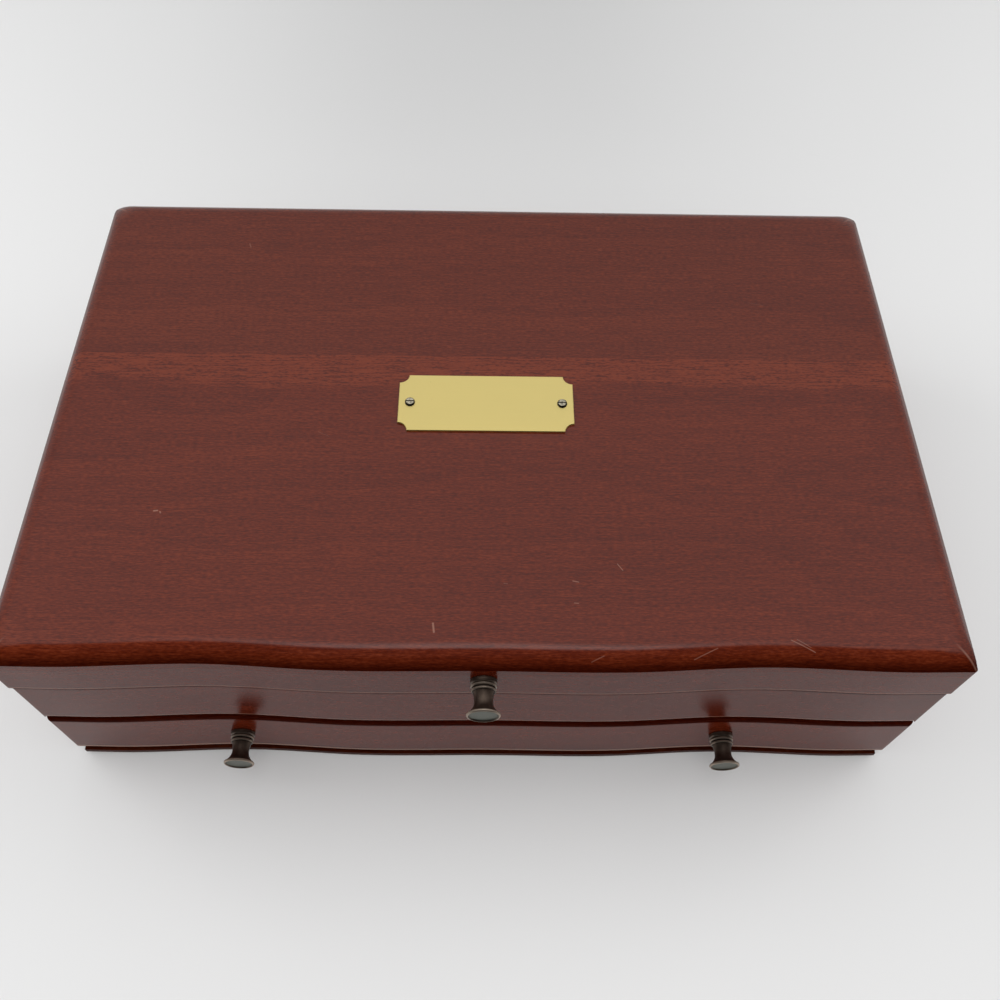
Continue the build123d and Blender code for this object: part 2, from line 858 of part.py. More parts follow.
with BuildPart() as lid_hinge_leaf_right:
    hinge_leaf(hinge_x, up=True)
lid_hinge_leaf_right.part.label = "lid_hinge_leaf_right"

with BuildPart() as hinge_pin_left:
    hinge_pin(-hinge_x)
hinge_pin_left.part.label = "hinge_pin_left"

with BuildPart() as hinge_pin_right:
    hinge_pin(hinge_x)
hinge_pin_right.part.label = "hinge_pin_right"

with BuildPart() as case_hinge_screws:
    hinge_screws(up=False)
case_hinge_screws.part.label = "case_hinge_screws"

with BuildPart() as lid_hinge_screws:
    hinge_screws(up=True)
lid_hinge_screws.part.label = "lid_hinge_screws"

# ------------------------------------------------------------------ drawer


def drawer_panel_grooves():
    """Groove round the drawer box that holds its bottom."""
    cut_box(
        (
            -drawer_inner_x - drawer_bottom_groove,
            case_inner_front - drawer_bottom_groove,
            drawer_panel_bottom,
        ),
        (
            drawer_inner_x + drawer_bottom_groove,
            drawer_inner_back + drawer_bottom_groove,
            drawer_panel_top,
        ),
    )


with BuildPart() as drawer_front:
    tier_block(case_inset, case_inner_front, drawer_bottom_edge, drawer_front_height)
    fillet(front_edge_at(drawer_bottom_edge), front_ease)
    fillet(front_edge_at(drawer_top_edge), front_ease)
    round_corners(case_inset, far)
    for side in (-1, 1):
        x_pair = sorted((side * drawer_inner_x, side * drawer_outer_x))
        cut_box(
            (x_pair[0], case_inner_front - drawer_dado, 0),
            (x_pair[1], far, drawer_side_top),
        )
        bolt_hole(side * bow_valley_x, drawer_knob_z, drawer_bolt_face)
    drawer_panel_grooves()
drawer_front.part.label = "drawer_front"

finger_height = drawer_side_height / finger_count


def finger_slots(first):
    """Cuts every other finger at the drawer's rear corners, from the first one named."""
    for index in range(first, finger_count, 2):
        low_z = drawer_bottom_edge + index * finger_height
        for side in (-1, 1):
            x_pair = sorted((side * drawer_inner_x, side * drawer_outer_x))
            cut_box(
                (x_pair[0], drawer_inner_back, low_z),
                (x_pair[1], drawer_back_y, low_z + finger_height),
            )


def drawer_side(side):
    """Side of the drawer box: housed in the front, finger jointed to the back."""
    x_pair = sorted((side * drawer_inner_x, side * drawer_outer_x))
    add_box(
        (x_pair[0], case_inner_front - drawer_dado, drawer_bottom_edge),
        (x_pair[1], drawer_back_y, drawer_side_top),
    )
    finger_slots(1)
    drawer_panel_grooves()


with BuildPart() as drawer_side_left:
    drawer_side(-1)
drawer_side_left.part.label = "drawer_side_left"

with BuildPart() as drawer_side_right:
    drawer_side(1)
drawer_side_right.part.label = "drawer_side_right"

with BuildPart() as drawer_back:
    add_box(
        (-drawer_outer_x, drawer_inner_back, drawer_bottom_edge),
        (drawer_outer_x, drawer_back_y, drawer_side_top),
    )
    finger_slots(0)
    drawer_panel_grooves()
drawer_back.part.label = "drawer_back"

with BuildPart() as drawer_bottom:
    add_box(
        (
            -drawer_inner_x - drawer_bottom_groove,
            case_inner_front - drawer_bottom_groove,
            drawer_panel_bottom,
        ),
        (
            drawer_inner_x + drawer_bottom_groove,
            drawer_inner_back + drawer_bottom_groove,
            drawer_panel_top,
        ),
    )
drawer_bottom.part.label = "drawer_bottom"

with BuildPart() as drawer_lining_floor:
    add_box(
        (-drawer_inner_x, case_inner_front, drawer_panel_top),
        (drawer_inner_x, drawer_inner_back, drawer_floor),
    )
drawer_lining_floor.part.label = "drawer_lining_floor"

with BuildPart() as drawer_lining_walls:
    wall_lining(drawer_inner_x, case_inner_front, drawer_inner_back, drawer_floor, lining_height)
drawer_lining_walls.part.label = "drawer_lining_walls"

with BuildPart() as drawer_divider_long:
    divider(
        (
            lining_thick - drawer_inner_x,
            drawer_divider_y - drawer_divider_thick / 2,
            drawer_floor,
        ),
        (
            drawer_inner_x - lining_thick,
            drawer_divider_y + drawer_divider_thick / 2,
            drawer_floor + drawer_divider_height,
        ),
    )
drawer_divider_long.part.label = "drawer_divider_long"


drawer_cross_x = (drawer_inner_x - lining_thick) / 3


def cross_divider(side):
    """Short divider between the drawer's front and its long divider."""
    centre = side * drawer_cross_x
    half = drawer_divider_thick / 2
    divider(
        (centre - half, case_inner_front + lining_thick, drawer_floor),
        (centre + half, drawer_divider_y - half, drawer_floor + drawer_divider_height),
    )


with BuildPart() as drawer_divider_left:
    cross_divider(-1)
drawer_divider_left.part.label = "drawer_divider_left"

with BuildPart() as drawer_divider_right:
    cross_divider(1)
drawer_divider_right.part.label = "drawer_divider_right"

with BuildPart() as drawer_knob_left:
    knob(-bow_valley_x, drawer_knob_seat, drawer_knob_z)
drawer_knob_left.part.label = "drawer_knob_left"

with BuildPart() as drawer_knob_right:
    knob(bow_valley_x, drawer_knob_seat, drawer_knob_z)
drawer_knob_right.part.label = "drawer_knob_right"

with BuildPart() as drawer_knob_bolts:
    for side in (-1, 1):
        bolt(
            side * bow_valley_x,
            drawer_knob_z,
            drawer_bolt_face,
            drawer_knob_seat,
        )
drawer_knob_bolts.part.label = "drawer_knob_bolts"

# ------------------------------------------------------------------ files
pieces = [
    base_felt,
    base_board,
    case_front,
    case_side_left,
    case_side_right,
    case_back,
    tray_floor,
    drawer_kicker_left,
    drawer_kicker_right,
    tray_lining_floor,
    tray_lining_walls,
    tray_divider_left,
    tray_divider_right,
    rack_strip_front,
    rack_strip_rear,
    rack_fins_front,
    rack_fins_rear,
    lid_board_front,
    lid_board_rear,
    lid_rail_front,
    lid_rail_back,
    lid_rail_left,
    lid_rail_right,
    lid_pad,
    knife_handle_strip,
    knife_handle_fins,
    knife_blade_strip,
    knife_blade_fins,
    name_plate,
    plate_screws,
    lid_knob,
    lid_knob_bolt,
    case_hinge_leaf_left,
    case_hinge_leaf_right,
    lid_hinge_leaf_left,
    lid_hinge_leaf_right,
    hinge_pin_left,
    hinge_pin_right,
    case_hinge_screws,
    lid_hinge_screws,
    drawer_front,
    drawer_side_left,
    drawer_side_right,
    drawer_back,
    drawer_bottom,
    drawer_lining_floor,
    drawer_lining_walls,
    drawer_divider_long,
    drawer_divider_left,
    drawer_divider_right,
    drawer_knob_left,
    drawer_knob_right,
    drawer_knob_bolts,
]
for piece in pieces:
    export_step(piece.part, f"parts/{piece.part.label}.step")
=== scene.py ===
"""Silverware chest: a hinged lid over a lined tray, with one drawer below.

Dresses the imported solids. Metres, +Z up, front towards -Y; the origin is the middle of the
underside. Sizes are written in millimetres and scaled by MM.
"""

from __future__ import annotations

import logging
from dataclasses import dataclass
from enum import Enum
from typing import Any, Callable, Sequence, Union

import bpy
from bpy.types import Material, Object
import numpy as np
from mathutils import Matrix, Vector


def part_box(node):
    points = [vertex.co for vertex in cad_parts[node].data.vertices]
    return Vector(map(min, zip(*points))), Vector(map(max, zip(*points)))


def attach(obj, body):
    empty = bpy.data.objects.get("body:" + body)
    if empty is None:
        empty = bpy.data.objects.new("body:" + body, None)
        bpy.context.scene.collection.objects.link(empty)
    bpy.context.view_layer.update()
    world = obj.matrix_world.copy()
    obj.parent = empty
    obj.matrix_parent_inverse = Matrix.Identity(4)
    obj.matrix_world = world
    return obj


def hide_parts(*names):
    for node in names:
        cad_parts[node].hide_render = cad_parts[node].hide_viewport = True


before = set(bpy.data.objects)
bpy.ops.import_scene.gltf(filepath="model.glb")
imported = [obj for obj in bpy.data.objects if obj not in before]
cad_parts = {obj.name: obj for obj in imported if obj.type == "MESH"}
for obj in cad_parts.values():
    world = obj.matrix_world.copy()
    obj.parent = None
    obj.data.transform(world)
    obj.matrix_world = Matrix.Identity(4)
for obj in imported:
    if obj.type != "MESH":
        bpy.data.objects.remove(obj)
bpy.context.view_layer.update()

MM = 0.001
log = logging.getLogger("chest")

Point = tuple[float, float, float]
Colour = tuple[float, float, float]
Waves = tuple[float, float, float]  # waves of a noise per metre, per axis
Zone = tuple[float, float]  # where a smooth step leaves 0 and where it reaches 1

CORE = 0.4  # share of the half width of a scratch, and of a painted highlight line, that is at full strength
AXIS_R = 0.01 * MM  # first radius of a turned profile, so that its ends close without a pole


class Slot(Enum):
    """Material slot names of the record; no piece in this script is given one."""

    MAHOGANY = "mahogany"
    FELT = "felt"
    CLOTH = "cloth"
    BRASS = "brass"
    BRONZE = "bronze"


class Body(Enum):
    """Bodies that pieces ride on."""

    CASE = "case"
    LID = "lid"
    DRAWER = "drawer"


class Grain(Enum):
    """Direction in which a board's grain runs."""

    ALONG_X = 0.0
    ALONG_Y = 90.0


# ---------------------------------------------------------------- shader expressions
def operator(operation: str, reflected: bool = False) -> Callable[[Sock, Operand], Sock]:
    """Makes a method that joins a socket and another value by one operation.

    Args:
        operation: Operation of the Math or Vector Math node.
        reflected: The other value comes first, as in 1 - mask.

    Returns:
        The method.
    """

    def join(self: Sock, other: Operand) -> Sock:
        """The operation's result."""
        return self.calc(operation, *((other, self) if reflected else (self, other)))

    return join


class Sock:
    """A shader socket that takes part in Python expressions."""

    __add__, __radd__ = operator("ADD"), operator("ADD", True)
    __sub__, __rsub__ = operator("SUBTRACT"), operator("SUBTRACT", True)
    __mul__, __rmul__ = operator("MULTIPLY"), operator("MULTIPLY", True)
    __pow__ = operator("POWER")
    least, most = operator("MINIMUM"), operator("MAXIMUM")

    def __init__(self, shader: Shader, socket: Any) -> None:
        """Keeps the socket with the shader it belongs to."""
        self.shader = shader
        self.socket = socket

    def calc(self, operation: str, *operands: Operand) -> Sock:
        """Adds a Math or Vector Math node.

        Args:
            operation: The node's operation.
            operands: Its inputs in order.

        Returns:
            The node's result.
        """
        vector = any(isinstance(o, Sock) and o.socket.type == "VECTOR" for o in operands)
        kind = "ShaderNodeVectorMath" if vector else "ShaderNodeMath"
        if vector:
            operands = tuple((o,) * 3 if isinstance(o, (int, float)) else o for o in operands)
        return self.shader.node(kind, {"operation": operation}, dict(enumerate(operands)))

    def sine(self) -> Sock:
        """Sine of the value."""
        return self.calc("SINE", self)

    def absolute(self) -> Sock:
        """Value without its sign."""
        return self.calc("ABSOLUTE", self)

    def fraction(self) -> Sock:
        """What is left of the value after its whole part."""
        return self.calc("FRACT", self)

    def step(self, low: float, high: float) -> Sock:
        """Smooth step: 0 at low, 1 at high; low may be the higher number."""
        settings = {"interpolation_type": "SMOOTHSTEP"}
        inputs = {"Value": self, "From Min": low, "From Max": high}
        return self.shader.node("ShaderNodeMapRange", settings, inputs)


Operand = Union[Sock, float, Sequence[float]]


class Shader:
    """A material while its nodes are put together."""

    def __init__(self, name: str, world: bool = False) -> None:
        """Starts a material, or a world, with only its surface shader and output."""
        store = bpy.data.worlds if world else bpy.data.materials
        self.material = store.new(name)
        self.material.use_nodes = True
        self.tree = self.material.node_tree
        self.surface = self.tree.nodes["Background" if world else "Principled BSDF"]

    def node(
        self,
        kind: str,
        settings: dict[str, Any],
        inputs: dict[int | str, Operand],
        output: int | str = 0,
    ) -> Sock:
        """Adds one node.

        Args:
            kind: Node type.
            settings: Properties, set first; "stops" holds a ramp's (place, colour) pairs.
            inputs: Values or links by socket name or number.
            output: Socket to hand back.

        Returns:
            The chosen output.
        """
        made = self.tree.nodes.new(kind)
        for key, value in settings.items():
            if key == "stops":
                self.set_stops(made.color_ramp, value)
            else:
                setattr(made, key, value)
        for key, value in inputs.items():
            self.feed(made.inputs[key], value)
        return Sock(self, made.outputs[output])

    @staticmethod
    def set_stops(ramp: Any, stops: Sequence[tuple[float, Colour]]) -> None:
        """Sets a ramp's stops, which are given from low to high."""
        while len(ramp.elements) < len(stops):
            ramp.elements.new(1.0)
        for element, (place, colour) in zip(ramp.elements, stops):
            element.position = place
            element.color = (*colour, 1.0)

    def feed(self, socket: Any, value: Operand) -> None:
        """Links a socket to another, or writes a plain value or colour into it."""
        if isinstance(value, Sock):
            self.tree.links.new(value.socket, socket)
        elif socket.type == "RGBA" and len(value) == 3:
            socket.default_value = (*value, 1.0)
        else:
            socket.default_value = value

    def finish(self, inputs: dict[str, Operand]) -> Material:
        """Feeds the surface shader and hands the material back."""
        for key, value in inputs.items():
            self.feed(self.surface.inputs[key], value)
        return self.material

    def place(self, shift: Sequence[float] = (0, 0, 0), turn: float = 0.0) -> Sock:
        """Object coordinates, turned about Z by some degrees and shifted, in metres."""
        spot = self.node("ShaderNodeTexCoord", {}, {}, "Object")
        turned = (0.0, 0.0, float(np.radians(turn)))
        return self.node(
            "ShaderNodeMapping", {}, {"Vector": spot, "Location": shift, "Rotation": turned}
        )

    def axis(self, vector: Sock, name: str) -> Sock:
        """One part, X, Y or Z, of a vector."""
        return self.node("ShaderNodeSeparateXYZ", {}, {"Vector": vector}, name)

    def noise(self, vector: Sock, scale: Waves, detail: float = 2.0, rough: float = 0.5) -> Sock:
        """Noise from 0 to 1 over a vector stretched by a scale per axis."""
        inputs = {"Vector": vector * scale, "Scale": 1.0, "Detail": detail, "Roughness": rough}
        return self.node("ShaderNodeTexNoise", {}, inputs)

    def blend(self, low: Operand, high: Operand, share: Operand, mode: str = "MIX") -> Sock:
        """Colour between two, by a share from 0 to 1."""
        settings = {"data_type": "RGBA", "blend_type": mode, "clamp_factor": True}
        return self.node("ShaderNodeMix", settings, {0: share, 6: low, 7: high}, 2)

    def ramp(self, value: Sock, stops: Sequence[tuple[float, Colour]]) -> Sock:
        """Colour ramp over a value."""
        return self.node("ShaderNodeValToRGB", {"stops": stops}, {"Fac": value})

    def bump(self, height: Sock, depth: float, strength: float) -> Sock:
        """Bump from a height of 0 to 1 that stands for a depth in metres."""
        inputs = {"Height": height, "Distance": depth, "Strength": strength}
        return self.node("ShaderNodeBump", {}, inputs)


# ---------------------------------------------------------------- finishes, with painted shade and painted highlights
@dataclass(frozen=True)
class Scratch:
    """A light mark in the lacquer, between two points of the lid in plan, in millimetres."""

    start: tuple[float, float]
    end: tuple[float, float]
    width: float
    strength: float

    def mask(self, x: Sock, y: Sock) -> Sock:
        """One on the mark and nothing past its width: distance to the segment, stepped."""
        ax, ay, bx, by = (v * MM for v in (*self.start, *self.end))
        run = (bx - ax, by - ay)
        square = run[0] ** 2 + run[1] ** 2
        from_x, from_y = x - ax, y - ay
        share = (from_x * (run[0] / square) + from_y * (run[1] / square)).least(1.0).most(0.0)
        off_x, off_y = from_x - share * run[0], from_y - share * run[1]
        distance = (off_x * off_x + off_y * off_y) ** 0.5
        return distance.step(self.width * MM, CORE * self.width * MM) * self.strength


LID_SCRATCHES = (
    Scratch((-142.1, -62.6), (-140.6, -62.4), 0.45, 0.45),
    Scratch((-139.4, -63.0), (-139.1, -63.5), 0.45, 0.35),
    Scratch((-20.7, -114.2), (-20.2, -118.0), 0.55, 0.38),
    Scratch((-122.7, 98.6), (-121.8, 96.2), 0.4, 0.18),
    Scratch((55.6, -86.5), (57.7, -89.5), 0.25, 0.36),
    Scratch((36.6, -94.6), (38.9, -95.1), 0.3, 0.34),
    Scratch((36.8, -104.7), (38.5, -104.8), 0.3, 0.28),
    Scratch((42.9, -129.3), (47.8, -127.3), 0.25, 0.20),
    Scratch((84.1, -128.0), (93.5, -123.9), 0.25, 0.24),
    Scratch((123.5, -120.4), (132.8, -125.1), 0.25, 0.32),
    Scratch((125.9, -120.1), (131.1, -123.3), 0.2, 0.26),
    Scratch((8.0, -96.0), (9.5, -96.2), 0.25, 0.16),
    Scratch((-76.0, -20.0), (-71.0, -22.5), 0.2, 0.10),
    Scratch((131.0, 62.0), (138.0, 60.5), 0.2, 0.08),
)


@dataclass(frozen=True)
class LidWearAndHighlight:
    """What time and the cut of the boards left on the lid's top, and a painted highlight along the
    hips of its corners.
    """

    streaks: bool
    scratches: tuple[Scratch, ...]
    half_width: float = 200 * MM
    half_depth: float = 131 * MM
    run: float = 9.2 * MM
    band: Zone = (5.5 * MM, 10.5 * MM)
    band_waves: Waves = (9, 40, 40)
    band_ragged: float = 16 * MM
    hip_line: Zone = (1.1 * MM, 0.1 * MM)
    hip_rise: Zone = (112.4 * MM, 113.5 * MM)
    scratched: Colour = (0.46, 0.24, 0.17)
    # colour of the painted highlight on the hips
    lighter: Colour = (0.36, 0.20, 0.15)

    def streak_band(self, s: Shader, spot: Sock) -> Sock:
        """Redder, more open strip of wood in front of the glue line, with a ragged lower edge."""
        ragged = (s.noise(spot, self.band_waves, 3, 0.6) - 0.5) * self.band_ragged
        return (s.axis(spot, "Y") + ragged).step(*self.band)

    def hip_highlight(self, x: Sock, y: Sock, z: Sock) -> Sock:
        """Painted highlight line where the front or back roundover meets an end one, above the rim.
        """
        from_end = self.half_width - x.absolute()
        from_edge = self.half_depth - y.absolute()
        near = (from_end - from_edge).absolute().step(*self.hip_line)
        return near * from_end.step(1.2 * self.run, 0.5 * self.run) * z.step(*self.hip_rise)

    def marks(self, x: Sock, y: Sock) -> Sock:
        """All scratches together."""
        found = self.scratches[0].mask(x, y)
        for scratch in self.scratches[1:]:
            found = found.most(scratch.mask(x, y))
        return found


@dataclass(frozen=True)
class Layer:
    """One layer of a wood's figure; its share is how far it moves the stain."""

    waves: Waves
    detail: float
    rough: float
    share: float

    def over(self, s: Shader, grain: Sock) -> Sock:
        """The layer's noise from -0.5 to 0.5, stretched along the grain."""
        return s.noise(grain, self.waves, self.detail, self.rough) - 0.5


FIGURE = (
    Layer((2.2, 11, 11), 2, 0.5, 0.42),  # clouds
    Layer((7, 210, 210), 3, 0.6, 0.22),  # streaks
    Layer((65, 1150, 1150), 3, 0.65, 0.78),  # hair lines
    Layer((420, 1900, 1900), 2, 0.55, 1.15),  # flecks
)


@dataclass(frozen=True)
class Shade:
    """Painted shade on part of a face that little light reaches, by height.

    It is painted dark from start to full and on to end, and past the end it gets a lighter painted
    shade and a little less coat.
    """

    start: float
    full: float
    end: float
    dark: Colour = (0.32, 0.27, 0.22)
    past_shade: Colour = (0.75, 0.72, 0.75)
    fade: float = 0.4 * MM

    def over(self, s: Shader, z: Sock, colour: Sock, coat: Sock) -> tuple[Sock, Sock]:
        """The colour and the coat with the shade over them."""
        fade = self.fade if self.end > self.full else -self.fade
        within = z.step(self.end, self.end - fade)
        deep = z.step(self.start, self.full) * within
        past = 1.0 - within
        colour = s.blend(colour, self.dark, deep, "MULTIPLY")
        colour = s.blend(colour, self.past_shade, past, "MULTIPLY")
        return colour, coat * (1.0 - 0.95 * deep - 0.4 * past)


RIM_SHADE = Shade(119.7 * MM, 113.4 * MM, 112.4 * MM)  # the lid's roundover down to its crease


@dataclass(frozen=True)
class PaintedEdgeHighlight:
    """Painted highlight: a light line along an eased edge, where a grazing reflection lies."""

    level: float
    half: float
    strength: float
    colour: Colour = (0.38, 0.265, 0.20)

    def over(self, s: Shader, z: Sock, colour: Sock) -> Sock:
        """The colour with the line over it."""
        line = (z - self.level).absolute().step(self.half, CORE * self.half)
        return s.blend(colour, self.colour, line * self.strength)


@dataclass(frozen=True)
class LacqueredMahogany:
    """Fine-grained wood stained red-brown, under clear satin lacquer."""

    name: str
    grain: Grain = Grain.ALONG_X
    shift: Point = (0.0, 0.0, 0.0)
    tone: Colour = (1.0, 1.0, 1.0)
    dark: Colour = (0.064, 0.0060, 0.0010)
    mid: Colour = (0.104, 0.0115, 0.0021)
    light: Colour = (0.160, 0.0240, 0.0060)
    coat: float = 1.0
    growth_rate: float = 34.0
    growth_wander: float = 7.0
    growth_waves: Waves = (3.4, 12, 12)
    shade: Shade | None = None
    # painted highlight lines along eased edges
    lighter: tuple[PaintedEdgeHighlight, ...] = ()
    # the lid's wear and its painted hip highlight
    wear_and_highlight: LidWearAndHighlight | None = None

    def material(self) -> Material:
        """Clouds, streaks, hair lines and flecks along the grain, and soft-edged growth lines, with
        painted shade and painted highlights over them.

        Growth lines are where a slope across the board plus slow noise passes a whole number.
        """
        s = Shader(self.name)
        spot = s.place()
        p = s.place(self.shift, self.grain.value)
        layers = [layer.over(s, p) for layer in FIGURE]
        cloud, streak, hair, fleck = layers
        wander = s.noise(p, self.growth_waves, 2) * self.growth_wander
        slope = (s.axis(p, "Y") + s.axis(p, "Z")) * self.growth_rate
        growth = (slope + wander).fraction() - 0.5
        share = 0.5
        for layer, value in zip(FIGURE, layers):
            share = share + layer.share * value
        share = share + 0.07 * growth
        share = share - 0.13 * growth.absolute().step(0.07, 0.0) * cloud.step(0.02, 0.12)
        rough = 0.45 + 0.3 * streak
        coat = self.coat * (1.0 - 0.5 * fleck.absolute())
        height = 0.5 + hair + 0.8 * fleck
        x, y, z = (s.axis(spot, name) for name in "XYZ")
        if self.wear_and_highlight is not None and self.wear_and_highlight.streaks:
            band = self.wear_and_highlight.streak_band(s, spot)
            share = share + band * (0.20 + 1.9 * hair + 1.1 * fleck)
        colour = self.stain(s, share)
        if self.wear_and_highlight is not None:
            marks = self.wear_and_highlight.marks(x, y)
            colour = s.blend(colour, self.wear_and_highlight.scratched, marks)
            height = height + marks * 0.8
            rough = rough + marks * 0.3
        # painted shade by height
        if self.shade is not None:
            colour, coat = self.shade.over(s, z, colour, coat)
        # painted highlights along eased edges
        for line in self.lighter:
            colour = line.over(s, z, colour)
        # painted highlight along the hips of the lid's corners
        if self.wear_and_highlight is not None:
            hip_highlight = self.wear_and_highlight.hip_highlight(x, y, z) * (0.6 + streak)
            colour = s.blend(colour, self.wear_and_highlight.lighter, hip_highlight * 0.6)
        return s.finish(
            {
                "Base Color": colour,
                "Roughness": rough,
                "Specular IOR Level": 0.0,
                "Coat Weight": coat,
                "Coat Roughness": 0.20,
                "Coat IOR": 1.5,
                "Normal": s.bump(height, 0.00005, 0.5),
            }
        )

    def stain(self, s: Shader, share: Sock) -> Sock:
        """Colour of the stained wood from its dark to its light share."""
        colour = s.ramp(share, [(0.22, self.dark), (0.50, self.mid), (0.80, self.light)])
        return s.blend(colour, self.tone, 1.0, "MULTIPLY")


@dataclass(frozen=True)
class PaleDrawerWood:
    """Unstained pale hardwood of the drawer box, under a thin clear seal."""

    name: str
    grain: Grain = Grain.ALONG_X
    shift: Point = (0.0, 0.0, 0.0)
    dark: Colour = (0.30, 0.155, 0.065)
    light: Colour = (0.50, 0.315, 0.155)
    line: Colour = (0.235, 0.115, 0.045)

    def material(self) -> Material:
        """Long soft streaks with fine threads and a few darker lines."""
        s = Shader(self.name)
        p = s.place(self.shift, self.grain.value)
        band = s.noise(p, (2.5, 34, 34), 3)
        streak = s.noise(p, (9, 380, 380), 3, 0.6)
        thread = s.noise(p, (60, 2100, 2100), 2)
        share = 0.8 * band + 0.5 * streak + 0.35 * thread - 0.35
        colour = s.ramp(share, [(0.15, self.dark), (0.75, self.light)])
        line = s.noise(p, (3, 160, 160), 2).step(0.60, 0.68)
        colour = s.blend(colour, self.line, line * 0.35)
        return s.finish(
            {
                "Base Color": colour,
                "Roughness": 0.52 + 0.15 * streak,
                "Specular IOR Level": 0.4,
                "Normal": s.bump(thread, 0.00005, 0.5),
            }
        )


@dataclass(frozen=True)
class NappedCloth:
    """Soft brown cloth with a short brushed nap over a plain weave."""

    name: str
    deep: Colour = (0.040, 0.019, 0.009)
    raised: Colour = (0.110, 0.060, 0.033)
    weave: float = 0.9 * MM
    fuzz: float = 1.0
    sheen: Colour = (0.9, 0.75, 0.62)

    def material(self) -> Material:
        """Nap from noise, weave from crossed sines over each pair of axes."""
        s = Shader(self.name)
        p = s.place()
        rate = float(2 * np.pi / self.weave)
        waves = [(s.axis(p, name) * rate).sine() for name in "XYZ"]
        cross = (waves[0] * waves[1] + waves[1] * waves[2] + waves[0] * waves[2]) * 0.33 + 0.5
        nap = s.noise(p, (900, 900, 900), 3, 0.65)
        tuft = s.noise(p, (120, 120, 120), 3)
        share = 0.55 * nap + 0.35 * tuft + 0.12 * cross
        colour = s.blend(self.deep, self.raised, share.step(0.25, 0.80))
        height = nap + 0.35 * cross
        return s.finish(
            {
                "Base Color": colour,
                "Roughness": 0.88 + 0.1 * nap,
                "Specular IOR Level": 0.15,
                "Sheen Weight": 0.35 * self.fuzz,
                "Sheen Roughness": 0.45,
                "Sheen Tint": self.sheen,
                "Normal": s.bump(height, 0.00035, 0.8),
            }
        )


def toned(colour: Colour, share: float) -> Colour:
    """A colour cut down to a share of its brightness."""
    return tuple(c * share for c in colour)


@dataclass(frozen=True)
class BrushedBrass:
    """Pale satin brass brushed along the plate's length."""

    name: str
    colour: Colour = (0.98, 0.80, 0.31)
    brushed: float = 1.0

    def material(self) -> Material:
        """Fine lengthwise brushing with a little spotting."""
        s = Shader(self.name)
        p = s.place()
        brush = s.noise(p, (40, 5200, 5200), 2, 0.6)
        cloud = s.noise(p, (45, 60, 60), 3)
        pits = s.noise(p, (900, 900, 900), 2).step(0.72, 0.80) * cloud.step(0.5, 0.62)
        colour = s.blend(toned(self.colour, 0.90), self.colour, 0.5 * brush + 0.5 * cloud)
        colour = s.blend(colour, toned(self.colour, 0.62), pits)
        return s.finish(
            {
                "Base Color": colour,
                "Metallic": 1.0,
                "Roughness": 0.30 + 0.14 * brush * self.brushed + 0.08 * cloud,
                "Normal": s.bump(brush, 0.000012, 0.5 * self.brushed),
            }
        )


@dataclass(frozen=True)
class AntiqueBronze:
    """Dark turned bronze: bright on its rim and beads, greenish on its recessed face."""

    name: str
    centre: tuple[float, float]
    seat_y: float
    dark: Colour = (0.075, 0.050, 0.038)
    lighter: Colour = (0.120, 0.086, 0.066)
    bright: Colour = (0.42, 0.34, 0.27)
    face: Colour = (0.135, 0.142, 0.118)
    groove: Colour = (0.020, 0.013, 0.010)
    head: Zone = (14.0 * MM, 14.5 * MM)
    foot: Zone = (5.6 * MM, 5.2 * MM)
    above_flange: Zone = (1.5 * MM, 2.1 * MM)
    rim_r: Zone = (6.05 * MM, 6.5 * MM)
    face_r: Zone = (6.0 * MM, 5.7 * MM)
    bead_r: Zone = (4.85 * MM, 5.15 * MM)
    groove_r: Zone = (4.85 * MM, 4.62 * MM)
    lathe_pitch: float = 0.35 * MM

    def material(self) -> Material:
        """Zones by distance from the knob's axis and from its seat, over a soft patina."""
        s = Shader(self.name)
        p = s.place()
        patina = s.noise(p, (260, 260, 260), 3, 0.5)
        x = s.axis(p, "X") - self.centre[0]
        z = s.axis(p, "Z") - self.centre[1]
        radius = (x * x + z * z) ** 0.5
        height = self.seat_y - s.axis(p, "Y")
        head, foot = height.step(*self.head), height.step(*self.foot)
        rim = head * radius.step(*self.rim_r)
        beads = foot * radius.step(*self.bead_r) * height.step(*self.above_flange)
        colour = s.blend(self.dark, self.lighter, patina.step(0.35, 0.70))
        colour = s.blend(colour, self.groove, foot * radius.step(*self.groove_r))
        colour = s.blend(colour, self.face, head * radius.step(*self.face_r))
        colour = s.blend(colour, self.bright, rim.most(beads * 0.6))
        lathe = (radius * float(2 * np.pi / self.lathe_pitch)).sine() * 0.5 + 0.5
        return s.finish(
            {
                "Base Color": colour,
                "Metallic": 0.85,
                "Roughness": 0.36 + 0.14 * patina,
                "Normal": s.bump(0.3 * lathe + 0.5 * patina, 0.00002, 0.4),
            }
        )


@dataclass(frozen=True)
class PlateScrew:
    """Pale worn screw heads, with painted shade on each head's rim and in its slot."""

    name: str
    half_pitch: float = 35.2 * MM
    plate_y: float = -3.4 * MM
    rim: Zone = (1.65 * MM, 2.05 * MM)
    slot: Zone = (121.75 * MM, 121.6 * MM)
    pale: Colour = (0.72, 0.66, 0.50)
    dark: Colour = (0.035, 0.028, 0.018)

    def material(self) -> Material:
        """Painted shade near the edge of each head, by distance from its axis, and below its top,
        where the slot is.
        """
        s = Shader(self.name)
        p = s.place()
        x = s.axis(p, "X").absolute() - self.half_pitch
        y = s.axis(p, "Y") - self.plate_y
        # painted shade on the rounded edge of each head
        rim = ((x * x + y * y) ** 0.5).step(*self.rim)
        # painted shade below the head's top, in the slot
        slot = s.axis(p, "Z").step(*self.slot)
        worn = s.noise(p, (900, 900, 900), 3)
        colour = s.blend(self.pale, toned(self.pale, 0.45), worn.step(0.42, 0.62))
        colour = s.blend(colour, self.dark, rim.most(slot))
        return s.finish(
            {
                "Base Color": colour,
                "Metallic": 0.9,
                "Roughness": 0.25 + 0.3 * worn,
                "Normal": s.bump(worn, 0.00004, 0.6),
            }
        )


